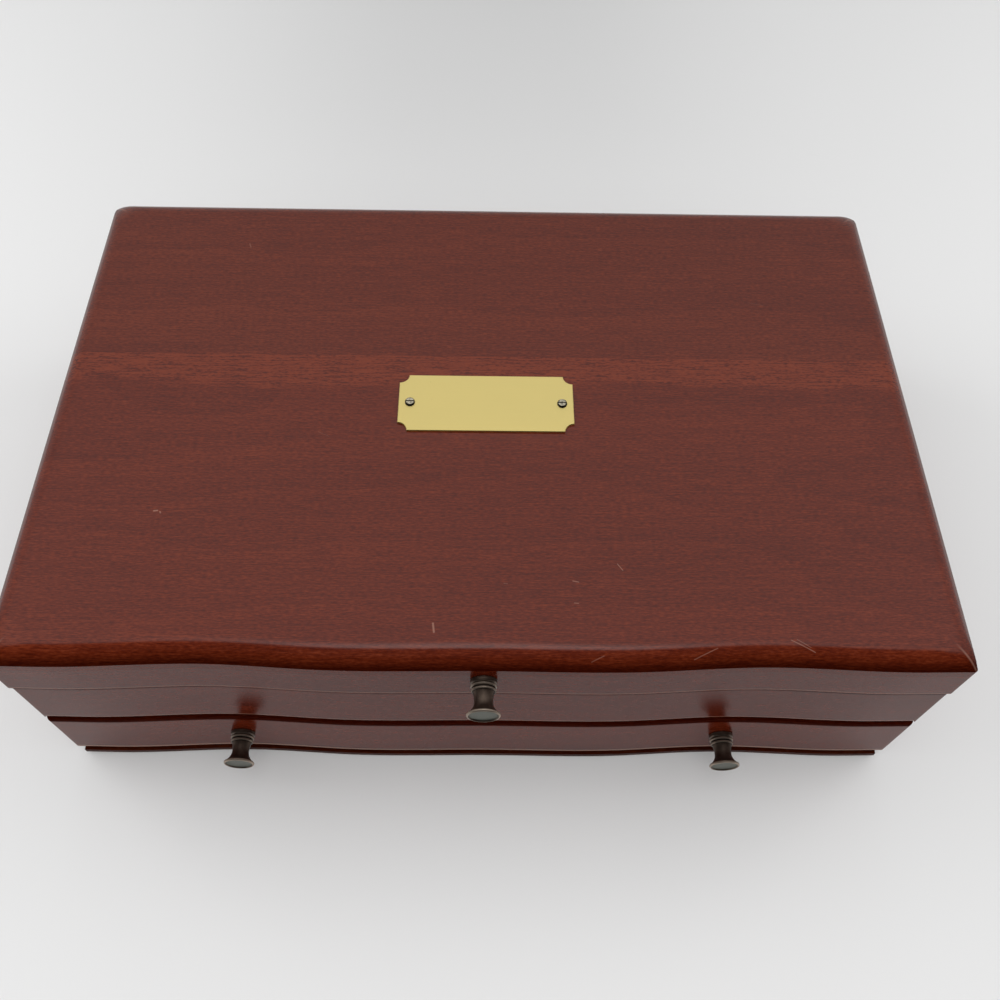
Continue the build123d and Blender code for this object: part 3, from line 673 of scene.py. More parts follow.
@dataclass(frozen=True)
class BrightSteel:
    """Plated steel of bolts."""

    name: str
    colour: Colour = (0.56, 0.55, 0.52)

    def material(self) -> Material:
        """Light mottling and fine turning marks."""
        s = Shader(self.name)
        p = s.place()
        mottle = s.noise(p, (700, 700, 700), 3)
        turned = s.noise(p, (300, 6000, 300), 1)
        colour = s.blend(toned(self.colour, 0.8), self.colour, mottle)
        return s.finish(
            {
                "Base Color": colour,
                "Metallic": 1.0,
                "Roughness": 0.28 + 0.15 * mottle,
                "Normal": s.bump(turned, 0.00001, 0.4),
            }
        )


# ---------------------------------------------------------------- shapes
def node_box(node: str) -> tuple[np.ndarray, np.ndarray]:
    """Lowest and highest corner of a CAD node."""
    low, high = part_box(node)
    return np.array(low), np.array(high)


@dataclass
class Shape:
    """Points and faces of a mesh before it is made."""

    points: np.ndarray
    faces: list[list[int]]

    def joined(self, other: Shape) -> Shape:
        """Both shapes in one."""
        start = len(self.points)
        moved = [[start + i for i in face] for face in other.faces]
        return Shape(np.vstack([self.points, other.points]), self.faces + moved)

    def placed(self, name: str) -> Object:
        """Object of the shape, linked into the scene."""
        mesh = bpy.data.meshes.new(name)
        mesh.from_pydata(self.points.tolist(), [], self.faces)
        made = bpy.data.objects.new(name, mesh)
        bpy.context.scene.collection.objects.link(made)
        return made

    def outward(self) -> Shape:
        """The shape with its faces turned outwards: flipped where its volume is negative."""
        fans = [(f[0], a, b) for f in self.faces for a, b in zip(f[1:], f[2:])]
        a, b, c = (self.points[np.array(fans)[:, i]] for i in range(3))
        if np.einsum("ij,ij->", a, np.cross(b, c)) < 0:
            self.faces = [face[::-1] for face in self.faces]
        return self


def grid_faces(rows: int, columns: int, loop_rows: bool, loop_columns: bool) -> np.ndarray:
    """Quads between neighbouring points of a grid.

    Args:
        rows: Points down the grid.
        columns: Points across it.
        loop_rows: The last row joins the first.
        loop_columns: The last column joins the first.

    Returns:
        One row of four point numbers for each quad.
    """
    down = np.arange(rows if loop_rows else rows - 1)
    over = np.arange(columns if loop_columns else columns - 1)
    i, j = (a.ravel() for a in np.meshgrid(down, over, indexing="ij"))
    k, n = (i + 1) % rows, (j + 1) % columns
    return np.stack([i * columns + j, k * columns + j, k * columns + n, i * columns + n], axis=1)


def closed_sweep(rings: np.ndarray) -> Shape:
    """Solid from a closed profile carried along a path, with flat ends.

    Args:
        rings: Points as [profile place, path place, xyz].

    Returns:
        The closed shape.
    """
    rows, columns = rings.shape[:2]
    faces = grid_faces(rows, columns, True, False).tolist()
    start = (np.arange(rows) * columns).tolist()
    end = (np.arange(rows) * columns + columns - 1).tolist()
    return Shape(rings.reshape(-1, 3), faces + [start[::-1], end]).outward()


def stacked(rings: np.ndarray) -> Shape:
    """Solid from closed rings, as [ring, place, xyz], whose first and last ring are filled."""
    rows, columns = rings.shape[:2]
    faces = grid_faces(rows, columns, False, True).tolist()
    caps = [list(range(columns)), list(range((rows - 1) * columns, rows * columns))[::-1]]
    return Shape(rings.reshape(-1, 3), faces + caps).outward()


def revolved(profile: np.ndarray, sides: int) -> Shape:
    """Profile of (radius, height) turned about +Z: (r cos t, r sin t, h), its ends filled."""
    angle = np.linspace(0, 2 * np.pi, sides, endpoint=False)
    radius, height = profile[:, :1], profile[:, 1:]
    return stacked(
        np.stack([radius * np.cos(angle), radius * np.sin(angle), height + 0 * angle], axis=-1)
    )


def along_y(points: np.ndarray) -> np.ndarray:
    """Points of a bar along +X, turned to lie along +Y."""
    return np.stack([-points[:, 1], points[:, 0], points[:, 2]], axis=1)


def soft_bar(section: np.ndarray, length: float, round_off: float, step: float = 6 * MM) -> Shape:
    """Bar along +X of a closed profile in (y, z) whose ends are eased.

    The profile pulls in along its normals by a quarter round at each end.

    Args:
        section: Rows of (y, z, normal y, normal z) round the profile.
        length: Length of the bar, from 0.
        round_off: Radius of the eased ends.
        step: Spacing of rows between the ends.

    Returns:
        The closed bar.
    """
    bend = np.linspace(0, np.pi / 2, 4)
    ends = round_off * (1 - np.cos(bend))
    pull = round_off * (1 - np.sin(bend))
    inner = np.linspace(round_off, length - round_off, max(2, int(length / step)))[1:-1]
    along = np.concatenate([ends, inner, length - ends[::-1]])
    shrink = np.concatenate([pull, 0 * inner, pull[::-1]])
    rings = section[:, None, :2] - section[:, None, 2:] * shrink[None, :, None]
    x = np.broadcast_to(along, rings.shape[:2])
    return closed_sweep(np.stack([x, rings[..., 0], rings[..., 1]], axis=-1))


def soft_box_profile(half: float, height: float, top: float, foot: float) -> np.ndarray:
    """Closed profile and normals of a bar that stands on z=0, its top and foot corners rounded.

    Args:
        half: Half of the bar's thickness.
        height: Height of the bar.
        top: Radius of the two top corners.
        foot: Radius of the two foot corners.

    Returns:
        Rows of (y, z, normal y, normal z).
    """
    quarter = np.linspace(0, np.pi / 2, 6)
    corners = [
        (half - foot, foot, foot, -np.pi / 2),
        (half - top, height - top, top, 0.0),
        (top - half, height - top, top, np.pi / 2),
        (foot - half, foot, foot, np.pi),
    ]
    rows = []
    for y, z, radius, start in corners:
        angle = quarter + start
        facing = np.stack([np.cos(angle), np.sin(angle)], axis=1)
        rows.append(np.hstack([(y, z) + radius * facing, facing]))
    return np.vstack(rows)


def soft_bar_between(
    low: Sequence[float], high: Sequence[float], top: float, foot: float, upside_down: bool = False
) -> Shape:
    """Covered bar that fills a box, its length along the box's longer side.

    Args:
        low: Lowest corner.
        high: Highest corner.
        top: Radius of the top corners.
        foot: Radius of the foot corners.
        upside_down: The foot is uppermost.

    Returns:
        The closed bar.
    """
    low, high = np.array(low, float), np.array(high, float)
    size = high - low
    sideways = size[1] > size[0]
    length, thick = (size[1], size[0]) if sideways else (size[0], size[1])
    section = soft_box_profile(thick / 2, size[2], top, foot)
    bar = soft_bar(section, length, min(top, 0.4 * thick))
    points = bar.points
    if upside_down:
        points = points * (1, -1, -1) + (0, 0, size[2])
    if sideways:
        points = along_y(points) + (low[0] + thick / 2, low[1], low[2])
    else:
        points = points + (low[0], low[1] + thick / 2, low[2])
    return Shape(points, bar.faces).outward()


def soft_slab(
    low: Sequence[float], high: Sequence[float], radius: float, step: float = 8 * MM
) -> Shape:
    """Thin slab with eased edges.

    A grid covers each side of a box. A point goes to where the ray from the nearest point of the
    box's core meets a ball of the radius there.

    Args:
        low: Lowest corner.
        high: Highest corner.
        radius: Radius of the eased edges.
        step: Spacing of points over the flat faces.

    Returns:
        The closed slab.
    """
    low, high = np.array(low, float), np.array(high, float)
    half = (high - low) / 2
    lines = []
    for axis in range(3):
        flat = half[axis] - radius
        count = max(2, int(2 * flat / step) + 1)
        bend = radius * np.tan(np.linspace(0, np.pi / 4, 4)[1:])
        middle = np.linspace(-flat, flat, count)
        lines.append(np.concatenate([-flat - bend[::-1], middle, flat + bend]))
    points, faces, start = [], [], 0
    for axis in range(3):
        u_axis, v_axis = (axis + 1) % 3, (axis + 2) % 3
        u, v = np.meshgrid(lines[u_axis], lines[v_axis], indexing="ij")
        for side in (-1, 1):
            spot = np.empty(u.shape + (3,))
            spot[..., axis] = side * half[axis]
            spot[..., u_axis], spot[..., v_axis] = u, v
            quads = grid_faces(*u.shape, False, False)
            faces.append((quads if side > 0 else quads[:, ::-1]) + start)
            points.append(spot.reshape(-1, 3))
            start += u.size
    box = np.vstack(points)
    core = np.clip(box, radius - half, half - radius)
    out = box - core
    rounded = core + radius * out / np.linalg.norm(out, axis=1, keepdims=True)
    kept, index = np.unique(np.round(rounded, 7), axis=0, return_inverse=True)
    faces = index.ravel()[np.vstack(faces)].tolist()
    return Shape(kept + (low + high) / 2, faces).outward()


def make_piece(
    name: str,
    shape: Shape,
    body: Body,
    material: Material,
    node: str,
    crease: float,
) -> Object:
    """Makes an object from a shape and sets it in the frame.

    Args:
        name: Name of the object.
        shape: Its points and faces.
        body: Body it rides on.
        material: Its material.
        node: CAD node that it stands for.
        crease: Edges sharper than this many degrees stay sharp.

    Returns:
        The object.
    """
    piece = shape.placed(name)
    mesh = piece.data
    mesh.validate()
    mesh.shade_smooth()
    mesh.set_sharp_from_angle(angle=float(np.radians(crease)))
    mesh.materials.append(material)
    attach(piece, body.value)
    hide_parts(node)
    log.info("%s: %d faces on %s", name, len(mesh.polygons), body.value)
    return piece


def bake(piece: Object) -> None:
    """Applies a piece's modifiers to its mesh."""
    graph = bpy.context.evaluated_depsgraph_get()
    done = bpy.data.meshes.new_from_object(piece.evaluated_get(graph))
    piece.modifiers.clear()
    piece.data = done


def dress(node: str, material: Material) -> None:
    """Gives a CAD node its material."""
    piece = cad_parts[node]
    piece.data.materials.clear()
    piece.data.materials.append(material)
    log.info("%s: dressed", node)


# ---------------------------------------------------------------- the serpentine front
@dataclass(frozen=True)
class SerpentineFront:
    """Plan line of the front, shared by every tier."""

    half_width: float = 200 * MM
    crest_y: float = -131 * MM
    flat_x: float = 66 * MM
    valley_x: float = 114 * MM
    crest_x: float = 174 * MM
    bow_centre: float = 0.55 * MM
    bow_valley: float = 1.75 * MM
    bow_corner: float = 0.3 * MM

    def depth(self, x: np.ndarray, half: float) -> np.ndarray:
        """How far the front stands back from the crest line.

        A cubic runs between each pair of knots; slopes make the bend run on, and are level at
        both ends.

        Args:
            x: Places along the front.
            half: Half of the tier's width.

        Returns:
            Depths in metres, of x's shape.
        """
        right = [self.flat_x, self.valley_x, self.crest_x, half]
        stand = [-self.bow_centre, self.bow_valley, 0.0, self.bow_corner]
        knots = np.array([-v for v in right[::-1]] + [0.0] + right)
        values = np.array(stand[::-1] + [-self.bow_centre] + stand)
        gap, rise = np.diff(knots), np.diff(values) / np.diff(knots)
        count = len(knots)
        system = np.eye(count)
        target = np.zeros(count)
        for i in range(1, count - 1):
            inverse = 1 / gap[i - 1], 1 / gap[i]
            system[i, i - 1 : i + 2] = inverse[0], 2 * sum(inverse), inverse[1]
            target[i] = 3 * (rise[i - 1] * inverse[0] + rise[i] * inverse[1])
        slope = np.linalg.solve(system, target)
        i = np.clip(np.searchsorted(knots, x) - 1, 0, count - 2)
        t = (x - knots[i]) / gap[i]
        a = slope[i] * gap[i] - (values[i + 1] - values[i])
        b = values[i + 1] - values[i] - slope[i + 1] * gap[i]
        return (1 - t) * values[i] + t * values[i + 1] + t * (1 - t) * (a * (1 - t) + b * t)

    def front_y(self, x: np.ndarray, inset: float) -> np.ndarray:
        """Front line of a tier that stands in from the lid."""
        half = self.half_width - inset
        return self.crest_y + inset + self.depth(np.clip(x, -half, half), half)


front = SerpentineFront()


def corner_arc(count: int, first: float, last: float) -> np.ndarray:
    """Unit circle points between two angles in degrees, as rows of (cos, sin)."""
    angle = np.radians(np.linspace(first, last, count))
    return np.stack([np.cos(angle), np.sin(angle)], axis=1)


@dataclass(frozen=True)
class FrontRun:
    """Path round a front: a straight end, a rounded corner, the front, and the same mirrored.

    A ring is the path at one level. Without straight ends it starts at the corner's mitre.
    """

    inset: float = 0.0
    corner: float = 1.5 * MM
    hip: float = 0.0
    columns: int = 181
    corner_points: int = 7
    end_points: int = 24
    bowed: bool = True

    def rings(
        self, ends: np.ndarray, fronts: np.ndarray, z: np.ndarray, back: float | None
    ) -> np.ndarray:
        """Rings of the path.

        The corner's radius grows by the hip's share: the square root of the ring's inset.

        Args:
            ends: Inset of the ends for each ring.
            fronts: Inset of the front for each ring.
            z: Height of each ring.
            back: Where the straight ends start, or None to start at the corner's mitre.

        Returns:
            Points as [ring, path place, xyz].
        """
        half = (front.half_width - self.inset - ends)[:, None]
        corner = self.corner + self.hip * np.sqrt(ends / max(ends.max(), MM))[:, None]
        x = np.linspace(-1, 1, self.columns) * (half - corner)
        bow = front.front_y(x, self.inset) if self.bowed else front.crest_y + self.inset + 0 * x
        depth = bow + fronts[:, None]
        corner_y = depth[:, :1] + corner
        arc = corner_arc(self.corner_points, 225.0 if back is None else 180.0, 270.0)[:-1]
        left_x = corner - half + corner * arc[None, :, 0]
        left_y = corner_y + corner * arc[None, :, 1]
        if back is not None:
            side_y = back + (corner_y - back) * np.linspace(0, 1, self.end_points)[None, :-1]
            left_x = np.hstack([-half + 0 * side_y, left_x])
            left_y = np.hstack([side_y, left_y])
        xs = np.hstack([left_x, x, -left_x[:, ::-1]])
        ys = np.hstack([left_y, depth, left_y[:, ::-1]])
        return np.stack([xs, ys, np.broadcast_to(z[:, None], xs.shape)], axis=-1)


def straight_rings(like: np.ndarray, half: float, y: float, z: Sequence[float]) -> np.ndarray:
    """Straight rows from -half to half at one depth, with as many points as another ring."""
    x = np.linspace(-half, half, like.shape[1])
    level = np.array(z)[:, None]
    rows = [x + 0 * level, y + 0 * x + 0 * level, level + 0 * x]
    return np.stack(rows, axis=-1)


# ---------------------------------------------------------------- sub-assemblies
@dataclass(frozen=True)
class LidTop:
    """The two glued boards of the lid, rounded over all four edges."""

    bottom: float = 108 * MM
    top: float = 120 * MM
    round_r: float = 9.48 * MM
    run: float = 9.2 * MM
    glue_y: float = 25.1 * MM
    hip: float = 13.0 * MM
    opening: float = 0.9
    opening_tilt: float = 0.14
    margin: float = 0.6 * MM
    fine_steps: int = 200
    rings: int = 25
    crease: float = 12.0

    def profile(self) -> tuple[np.ndarray, np.ndarray]:
        """Inset and height up the edge: a short wall, a crease, then an arc up to the flat.

        The arc opens out near the flat: its radius is larger by a bell-shaped share of the tilt.
        One more ring, a margin past the arc, keeps the flat's shading flat.
        """
        steep = np.arcsin(self.run / self.round_r)
        tilt = np.linspace(0, steep, self.fine_steps)
        radius = self.round_r * (1 + self.opening * np.exp(-((tilt / self.opening_tilt) ** 2)))
        step = tilt[1]
        across = np.concatenate([[0], np.cumsum((radius * np.cos(tilt))[1:] * step)])
        down = np.concatenate([[0], np.cumsum((radius * np.sin(tilt))[1:] * step)])
        keep = np.linspace(0, self.fine_steps - 1, self.rings).astype(int)[::-1]
        arc_inset, arc_z = across[-1] - across[keep], self.top - down[keep]
        inset = np.concatenate([[0, 0], arc_inset, arc_inset[-1:] + self.margin])
        wall = [self.bottom, 0.5 * (self.bottom + arc_z[0])]
        return inset, np.concatenate([wall, arc_z, [self.top]])

    def board(self, rear: bool) -> Shape:
        """One board, from the chest's edge to the glue line, closed all round.

        The rear board is made as a straight front and turned over about X.
        """
        inset, z = self.profile()
        glue_y = -self.glue_y if rear else self.glue_y
        run = FrontRun(hip=self.hip, corner_points=12, bowed=not rear)
        outline = run.rings(inset, inset, z, glue_y)
        half = front.half_width - inset[-1] - self.margin
        seam = straight_rings(outline, half, glue_y, [self.top, self.bottom])
        shape = closed_sweep(np.concatenate([outline, seam]))
        if rear:
            shape.points = shape.points * (1, -1, 1)
        return shape.outward()

    def build(self) -> None:
        """Makes both boards, each with its own figure."""
        front_wood = LacqueredMahogany(
            "mahogany_lid_front",
            shift=(0.31, 0.0, 0.02),
            shade=RIM_SHADE,
            wear_and_highlight=LidWearAndHighlight(True, LID_SCRATCHES),
        )
        rear_wood = LacqueredMahogany(
            "mahogany_lid_rear",
            shift=(1.7, 0.4, 0.1),
            tone=(0.92, 0.95, 1.0),
            growth_rate=22.0,
            growth_wander=2.2,
            shade=RIM_SHADE,
            wear_and_highlight=LidWearAndHighlight(False, LID_SCRATCHES[3:4] + LID_SCRATCHES[-1:]),
        )
        for place, wood in (("front", front_wood), ("rear", rear_wood)):
            shape, finish = self.board(place == "rear"), wood.material()
            name, node = f"lid_top_{place}", f"lid_board_{place}"
            make_piece(name, shape, Body.LID, finish, node, self.crease)


@dataclass(frozen=True)
class FrontBoard:
    """A board of the serpentine front, with an eased or chamfered edge above and below."""

    name: str
    node: str
    body: Body
    bottom: float
    top: float
    inset: float
    lower_ease: float
    upper_ease: float
    square_ends: bool
    inner_x: float
    inner_y: float
    mitred: bool
    wood: LacqueredMahogany
    bolt_pocket: tuple[float, float] | None = None
    pocket_r: float = 4.5 * MM
    pocket_depth: float = 2.9 * MM
    crease: float = 20.0

    @staticmethod
    def edge(size: float) -> tuple[np.ndarray, np.ndarray]:
        """Inset and rise of a quarter round, with one more ring close by on the face."""
        turn = np.linspace(0, np.pi / 2, 9)
        inset = np.append(size * (1 - np.sin(turn)), 0.0)
        return inset, np.append(size * (1 - np.cos(turn)), size + 0.25 * MM)

    def shape(self) -> Shape:
        """Outer face with its edges, then the straight inner face, as one closed sweep."""
        low_in, low_up = self.edge(self.lower_ease)
        top_in, top_up = self.edge(self.upper_ease)
        inset = np.concatenate([low_in, top_in[::-1]])
        z = np.concatenate([self.bottom + low_up, self.top - top_up[::-1]])
        ends = inset * 0 if self.square_ends else inset
        back = None if self.mitred else self.inner_y
        outer = FrontRun(inset=self.inset).rings(ends, inset, z, back)
        inner = straight_rings(outer, self.inner_x, self.inner_y, [self.top, self.bottom])
        return closed_sweep(np.concatenate([outer, inner]))

    def build(self) -> None:
        """Makes the board, with a pocket for the knob's bolt where it has one."""
        finish, shape = self.wood.material(), self.shape()
        piece = make_piece(
            self.name, shape, self.body, finish, self.node, self.crease
        )
        if self.bolt_pocket is not None:
            bore(piece, self.bolt_pocket, self.inner_y, self.pocket_r, self.pocket_depth)


def bore(
    piece: Object, at: tuple[float, float], face_y: float, r: float, deep: float
) -> None:
    """Cuts a round pocket into a board's inner face.

    Args:
        piece: The board.
        at: Centre of the pocket in X and Z.
        face_y: Depth of the inner face.
        r: Radius of the pocket.
        deep: Depth of the pocket.
    """
    profile = np.array([(AXIS_R, 0), (r, 0), (r, 2 * deep), (AXIS_R, 2 * deep)])
    shape = revolved(profile, 40)
    x, y, h = shape.points.T
    points = np.stack([at[0] + x, face_y - deep + h, at[1] + y], axis=1)
    cutter = Shape(points, shape.faces).outward().placed("pocket")
    cut = piece.modifiers.new("pocket", "BOOLEAN")
    cut.operation = "DIFFERENCE"
    cut.object = cutter
    cut.solver = "EXACT"
    bake(piece)
    bpy.data.objects.remove(cutter)


# Painted shade: the front boards are darker than the lid's top, as faces that get less light.
FRONT_SHADE_TONE = (0.74, 0.70, 0.8)
THIN_COAT = 0.66


def front_boards() -> list[FrontBoard]:
    """The lid's rail, the tray's front and the drawer's front."""
    rail = LacqueredMahogany(
        "mahogany_rail",
        shift=(0.9, 0.2, 0.5),
        tone=FRONT_SHADE_TONE,
        coat=THIN_COAT,
        # painted highlight along the rail's lower edge
        lighter=(PaintedEdgeHighlight(88.4 * MM, 1.1 * MM, 0.18),),
    )
    tray = LacqueredMahogany(
        "mahogany_tray_front",
        shift=(2.3, 0.7, 0.3),
        tone=FRONT_SHADE_TONE,
        coat=THIN_COAT,
        shade=Shade(84.4 * MM, 86.6 * MM, 88.0 * MM),
        # painted highlight along the tray front's lower edge
        lighter=(PaintedEdgeHighlight(51.9 * MM, 0.9 * MM, 0.2),),
    )
    drawer = LacqueredMahogany(
        "mahogany_drawer_face",
        shift=(5.5, 1.1, 0.3),
        # painted shade: the drawer's face is darker than the lid's top
        tone=(0.82, 0.76, 0.8),
        coat=0.67,
        shade=Shade(42.8 * MM, 44.4 * MM, 49.0 * MM),
        # painted highlight along the drawer face's lower edge
        lighter=(PaintedEdgeHighlight(8.7 * MM, 1.1 * MM, 0.45),),
    )
    knob_z = sum(corner[2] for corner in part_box("lid_knob")) / 2
    return [
        FrontBoard(
            name="rail_front",
            node="lid_rail_front",
            body=Body.LID,
            bottom=87.4 * MM,
            top=108 * MM,
            inset=0.0,
            lower_ease=0.8 * MM,
            upper_ease=0.02 * MM,
            square_ends=False,
            inner_x=190 * MM,
            inner_y=-118 * MM,
            mitred=True,
            wood=rail,
            bolt_pocket=(0.0, knob_z),
        ),
        FrontBoard(
            name="tray_front",
            node="case_front",
            body=Body.CASE,
            bottom=48.9 * MM,
            top=87.0 * MM,
            inset=0.75 * MM,
            lower_ease=3 * MM,
            upper_ease=0.8 * MM,
            square_ends=True,
            inner_x=189.25 * MM,
            inner_y=-117.25 * MM,
            mitred=True,
            wood=tray,
        ),
        FrontBoard(
            name="drawer_face",
            node="drawer_front",
            body=Body.DRAWER,
            bottom=5.0 * MM,
            top=47.9 * MM,
            inset=0.75 * MM,
            lower_ease=3 * MM,
            upper_ease=3 * MM,
            square_ends=True,
            inner_x=199.0 * MM,
            inner_y=-117.25 * MM,
            mitred=False,
            wood=drawer,
        ),
    ]


@dataclass(frozen=True)
class CarriedWood:
    """Wooden CAD nodes that keep their shape."""

    # painted shade: these boards are darker than the lid's top, like the fronts
    tone: Colour = (0.78, 0.74, 0.8)
    base_tone: Colour = (0.4, 0.5, 0.6)

    def stained(self, node: str, grain: Grain, shift: Point) -> None:
        """Gives a board stained mahogany, cut from its own place in the figure."""
        wood = LacqueredMahogany(f"mahogany_{node}", grain, shift, self.tone, coat=THIN_COAT)
        dress(node, wood.material())

    def build(self) -> None:
        """Gives each board its own cut of wood."""
        for node, at in (
            ("case_side_left", 0.6),
            ("case_side_right", 1.4),
            ("lid_rail_left", 2.2),
            ("lid_rail_right", 3.1),
        ):
            self.stained(node, Grain.ALONG_Y, (at, 0.3 * at, 0.1))
        for node, at in (("case_back", 4.0), ("lid_rail_back", 4.7)):
            self.stained(node, Grain.ALONG_X, (at, 0.2 * at, 0.3))
        base = LacqueredMahogany(
            "mahogany_base", shift=(6.1, 1.2, 0.3), tone=self.base_tone, coat=0.3
        )
        dress("base_board", base.material())
        for node in ("drawer_side_left", "drawer_side_right", "drawer_kicker_left"):
            dress(node, PaleDrawerWood(f"wood_{node}", Grain.ALONG_Y, (0.4, 0.1, 0.2)).material())
        dress("drawer_kicker_right", PaleDrawerWood("wood_kicker", Grain.ALONG_Y).material())
        for node in ("drawer_back", "drawer_bottom"):
            dress(node, PaleDrawerWood(f"wood_{node}", Grain.ALONG_X, (0.9, 0.5, 0.1)).material())
        floor_wood = LacqueredMahogany("mahogany_tray_floor", shift=(7.0, 1.0, 0.0))
        dress("tray_floor", floor_wood.material())


@dataclass(frozen=True)
class ClothFittings:
    """Linings, dividers and racks, all covered in napped cloth."""

    card: float = 1.2 * MM
    card_ease: float = 0.5 * MM
    foot_ease: float = 0.3 * MM
    fin_round: float = 1.65 * MM
    fin_foot: float = 0.2 * MM
    fin_end: float = 0.8 * MM
    crease: float = 60.0

    def build(self) -> None:
        """Makes each covered piece in its node's place."""
        cloth = NappedCloth("napped_cloth").material()
        felt = NappedCloth("base_felt", (0.030, 0.016, 0.009), (0.055, 0.032, 0.020), 1.4 * MM, 1.6)
        sheet = self.slab("felt_sheet", "base_felt", Body.CASE, felt.material())
        self.slab("tray_floor_cloth", "tray_lining_floor", Body.CASE, cloth)
        self.slab("drawer_floor_cloth", "drawer_lining_floor", Body.DRAWER, cloth)
        LidCushion().build(cloth)
        self.walls("tray_wall_cloth", "tray_lining_walls", Body.CASE, cloth)
        self.walls("drawer_wall_cloth", "drawer_lining_walls", Body.DRAWER, cloth)
        for side in ("left", "right"):
            self.bar(f"tray_bay_{side}", f"tray_divider_{side}", Body.CASE, cloth, 2.0)
            self.bar(f"drawer_cross_{side}", f"drawer_divider_{side}", Body.DRAWER, cloth, 2.0)
        self.bar("drawer_long_divider", "drawer_divider_long", Body.DRAWER, cloth, 2.0)
        for place in ("front", "rear"):
            tongues = (f"rack_tongues_{place}", f"rack_fins_{place}")
            self.bar(f"rack_base_{place}", f"rack_strip_{place}", Body.CASE, cloth, 1.0)
            self.fins(*tongues, Body.CASE, cloth, 33, 4.97 * MM, False)
        for part in ("handle", "blade"):
            self.bar(f"{part}_rest_strip", f"knife_{part}_strip", Body.LID, cloth, 1.0, True)
        for part, thick in (("handle", 18.0 * MM), ("blade", 25.0 * MM)):
            self.fins(f"{part}_rests", f"knife_{part}_fins", Body.LID, cloth, 13, thick, True)

    def slab(self, name: str, node: str, body: Body, cloth: Any) -> Object:
        """Covered card or felt that fills its node's box."""
        low, high = node_box(node)
        shape = soft_slab(low, high, 0.45 * (high[2] - low[2]))
        return make_piece(name, shape, body, cloth, node, self.crease)

    def walls(self, name: str, node: str, body: Body, cloth: Any) -> None:
        """Four covered cards round a compartment."""
        low, high = node_box(node)
        t = self.card
        cards = [
            (low, (high[0], low[1] + t, high[2])),
            ((low[0], high[1] - t, low[2]), high),
            ((low[0], low[1] + t, low[2]), (low[0] + t, high[1] - t, high[2])),
            ((high[0] - t, low[1] + t, low[2]), (high[0], high[1] - t, high[2])),
        ]
        shape = soft_slab(*cards[0], self.card_ease)
        for card in cards[1:]:
            shape = shape.joined(soft_slab(*card, self.card_ease))
        make_piece(name, shape, body, cloth, node, self.crease)

    def bar(
        self, name: str, node: str, body: Body, cloth: Any, top: float, upside_down: bool = False
    ) -> None:
        """Covered divider or strip; its top is rounded by some millimetres."""
        shape = soft_bar_between(*node_box(node), top * MM, self.foot_ease, upside_down)
        make_piece(name, shape, body, cloth, node, self.crease)

    def fins(
        self, name: str, node: str, body: Body, cloth: Any, count: int, thick: float, down: bool
    ) -> None:
        """Row of covered tongues with rounded free ends."""
        low, high = node_box(node)
        width, height = high[1] - low[1], high[2] - low[2]
        section = soft_box_profile(thick / 2, height, self.fin_round, self.fin_foot)
        tongue = soft_bar(section, width, self.fin_end)
        points = tongue.points
        if down:
            points = points * (1, -1, -1) + (0, 0, height)
        points = along_y(points)
        centres = np.linspace(low[0] + thick / 2, high[0] - thick / 2, count)
        tongues = [Shape(points + (x, low[1], low[2]), tongue.faces) for x in centres]
        shape = tongues[0]
        for other in tongues[1:]:
            shape = shape.joined(other)
        make_piece(name, shape.outward(), body, cloth, node, self.crease)


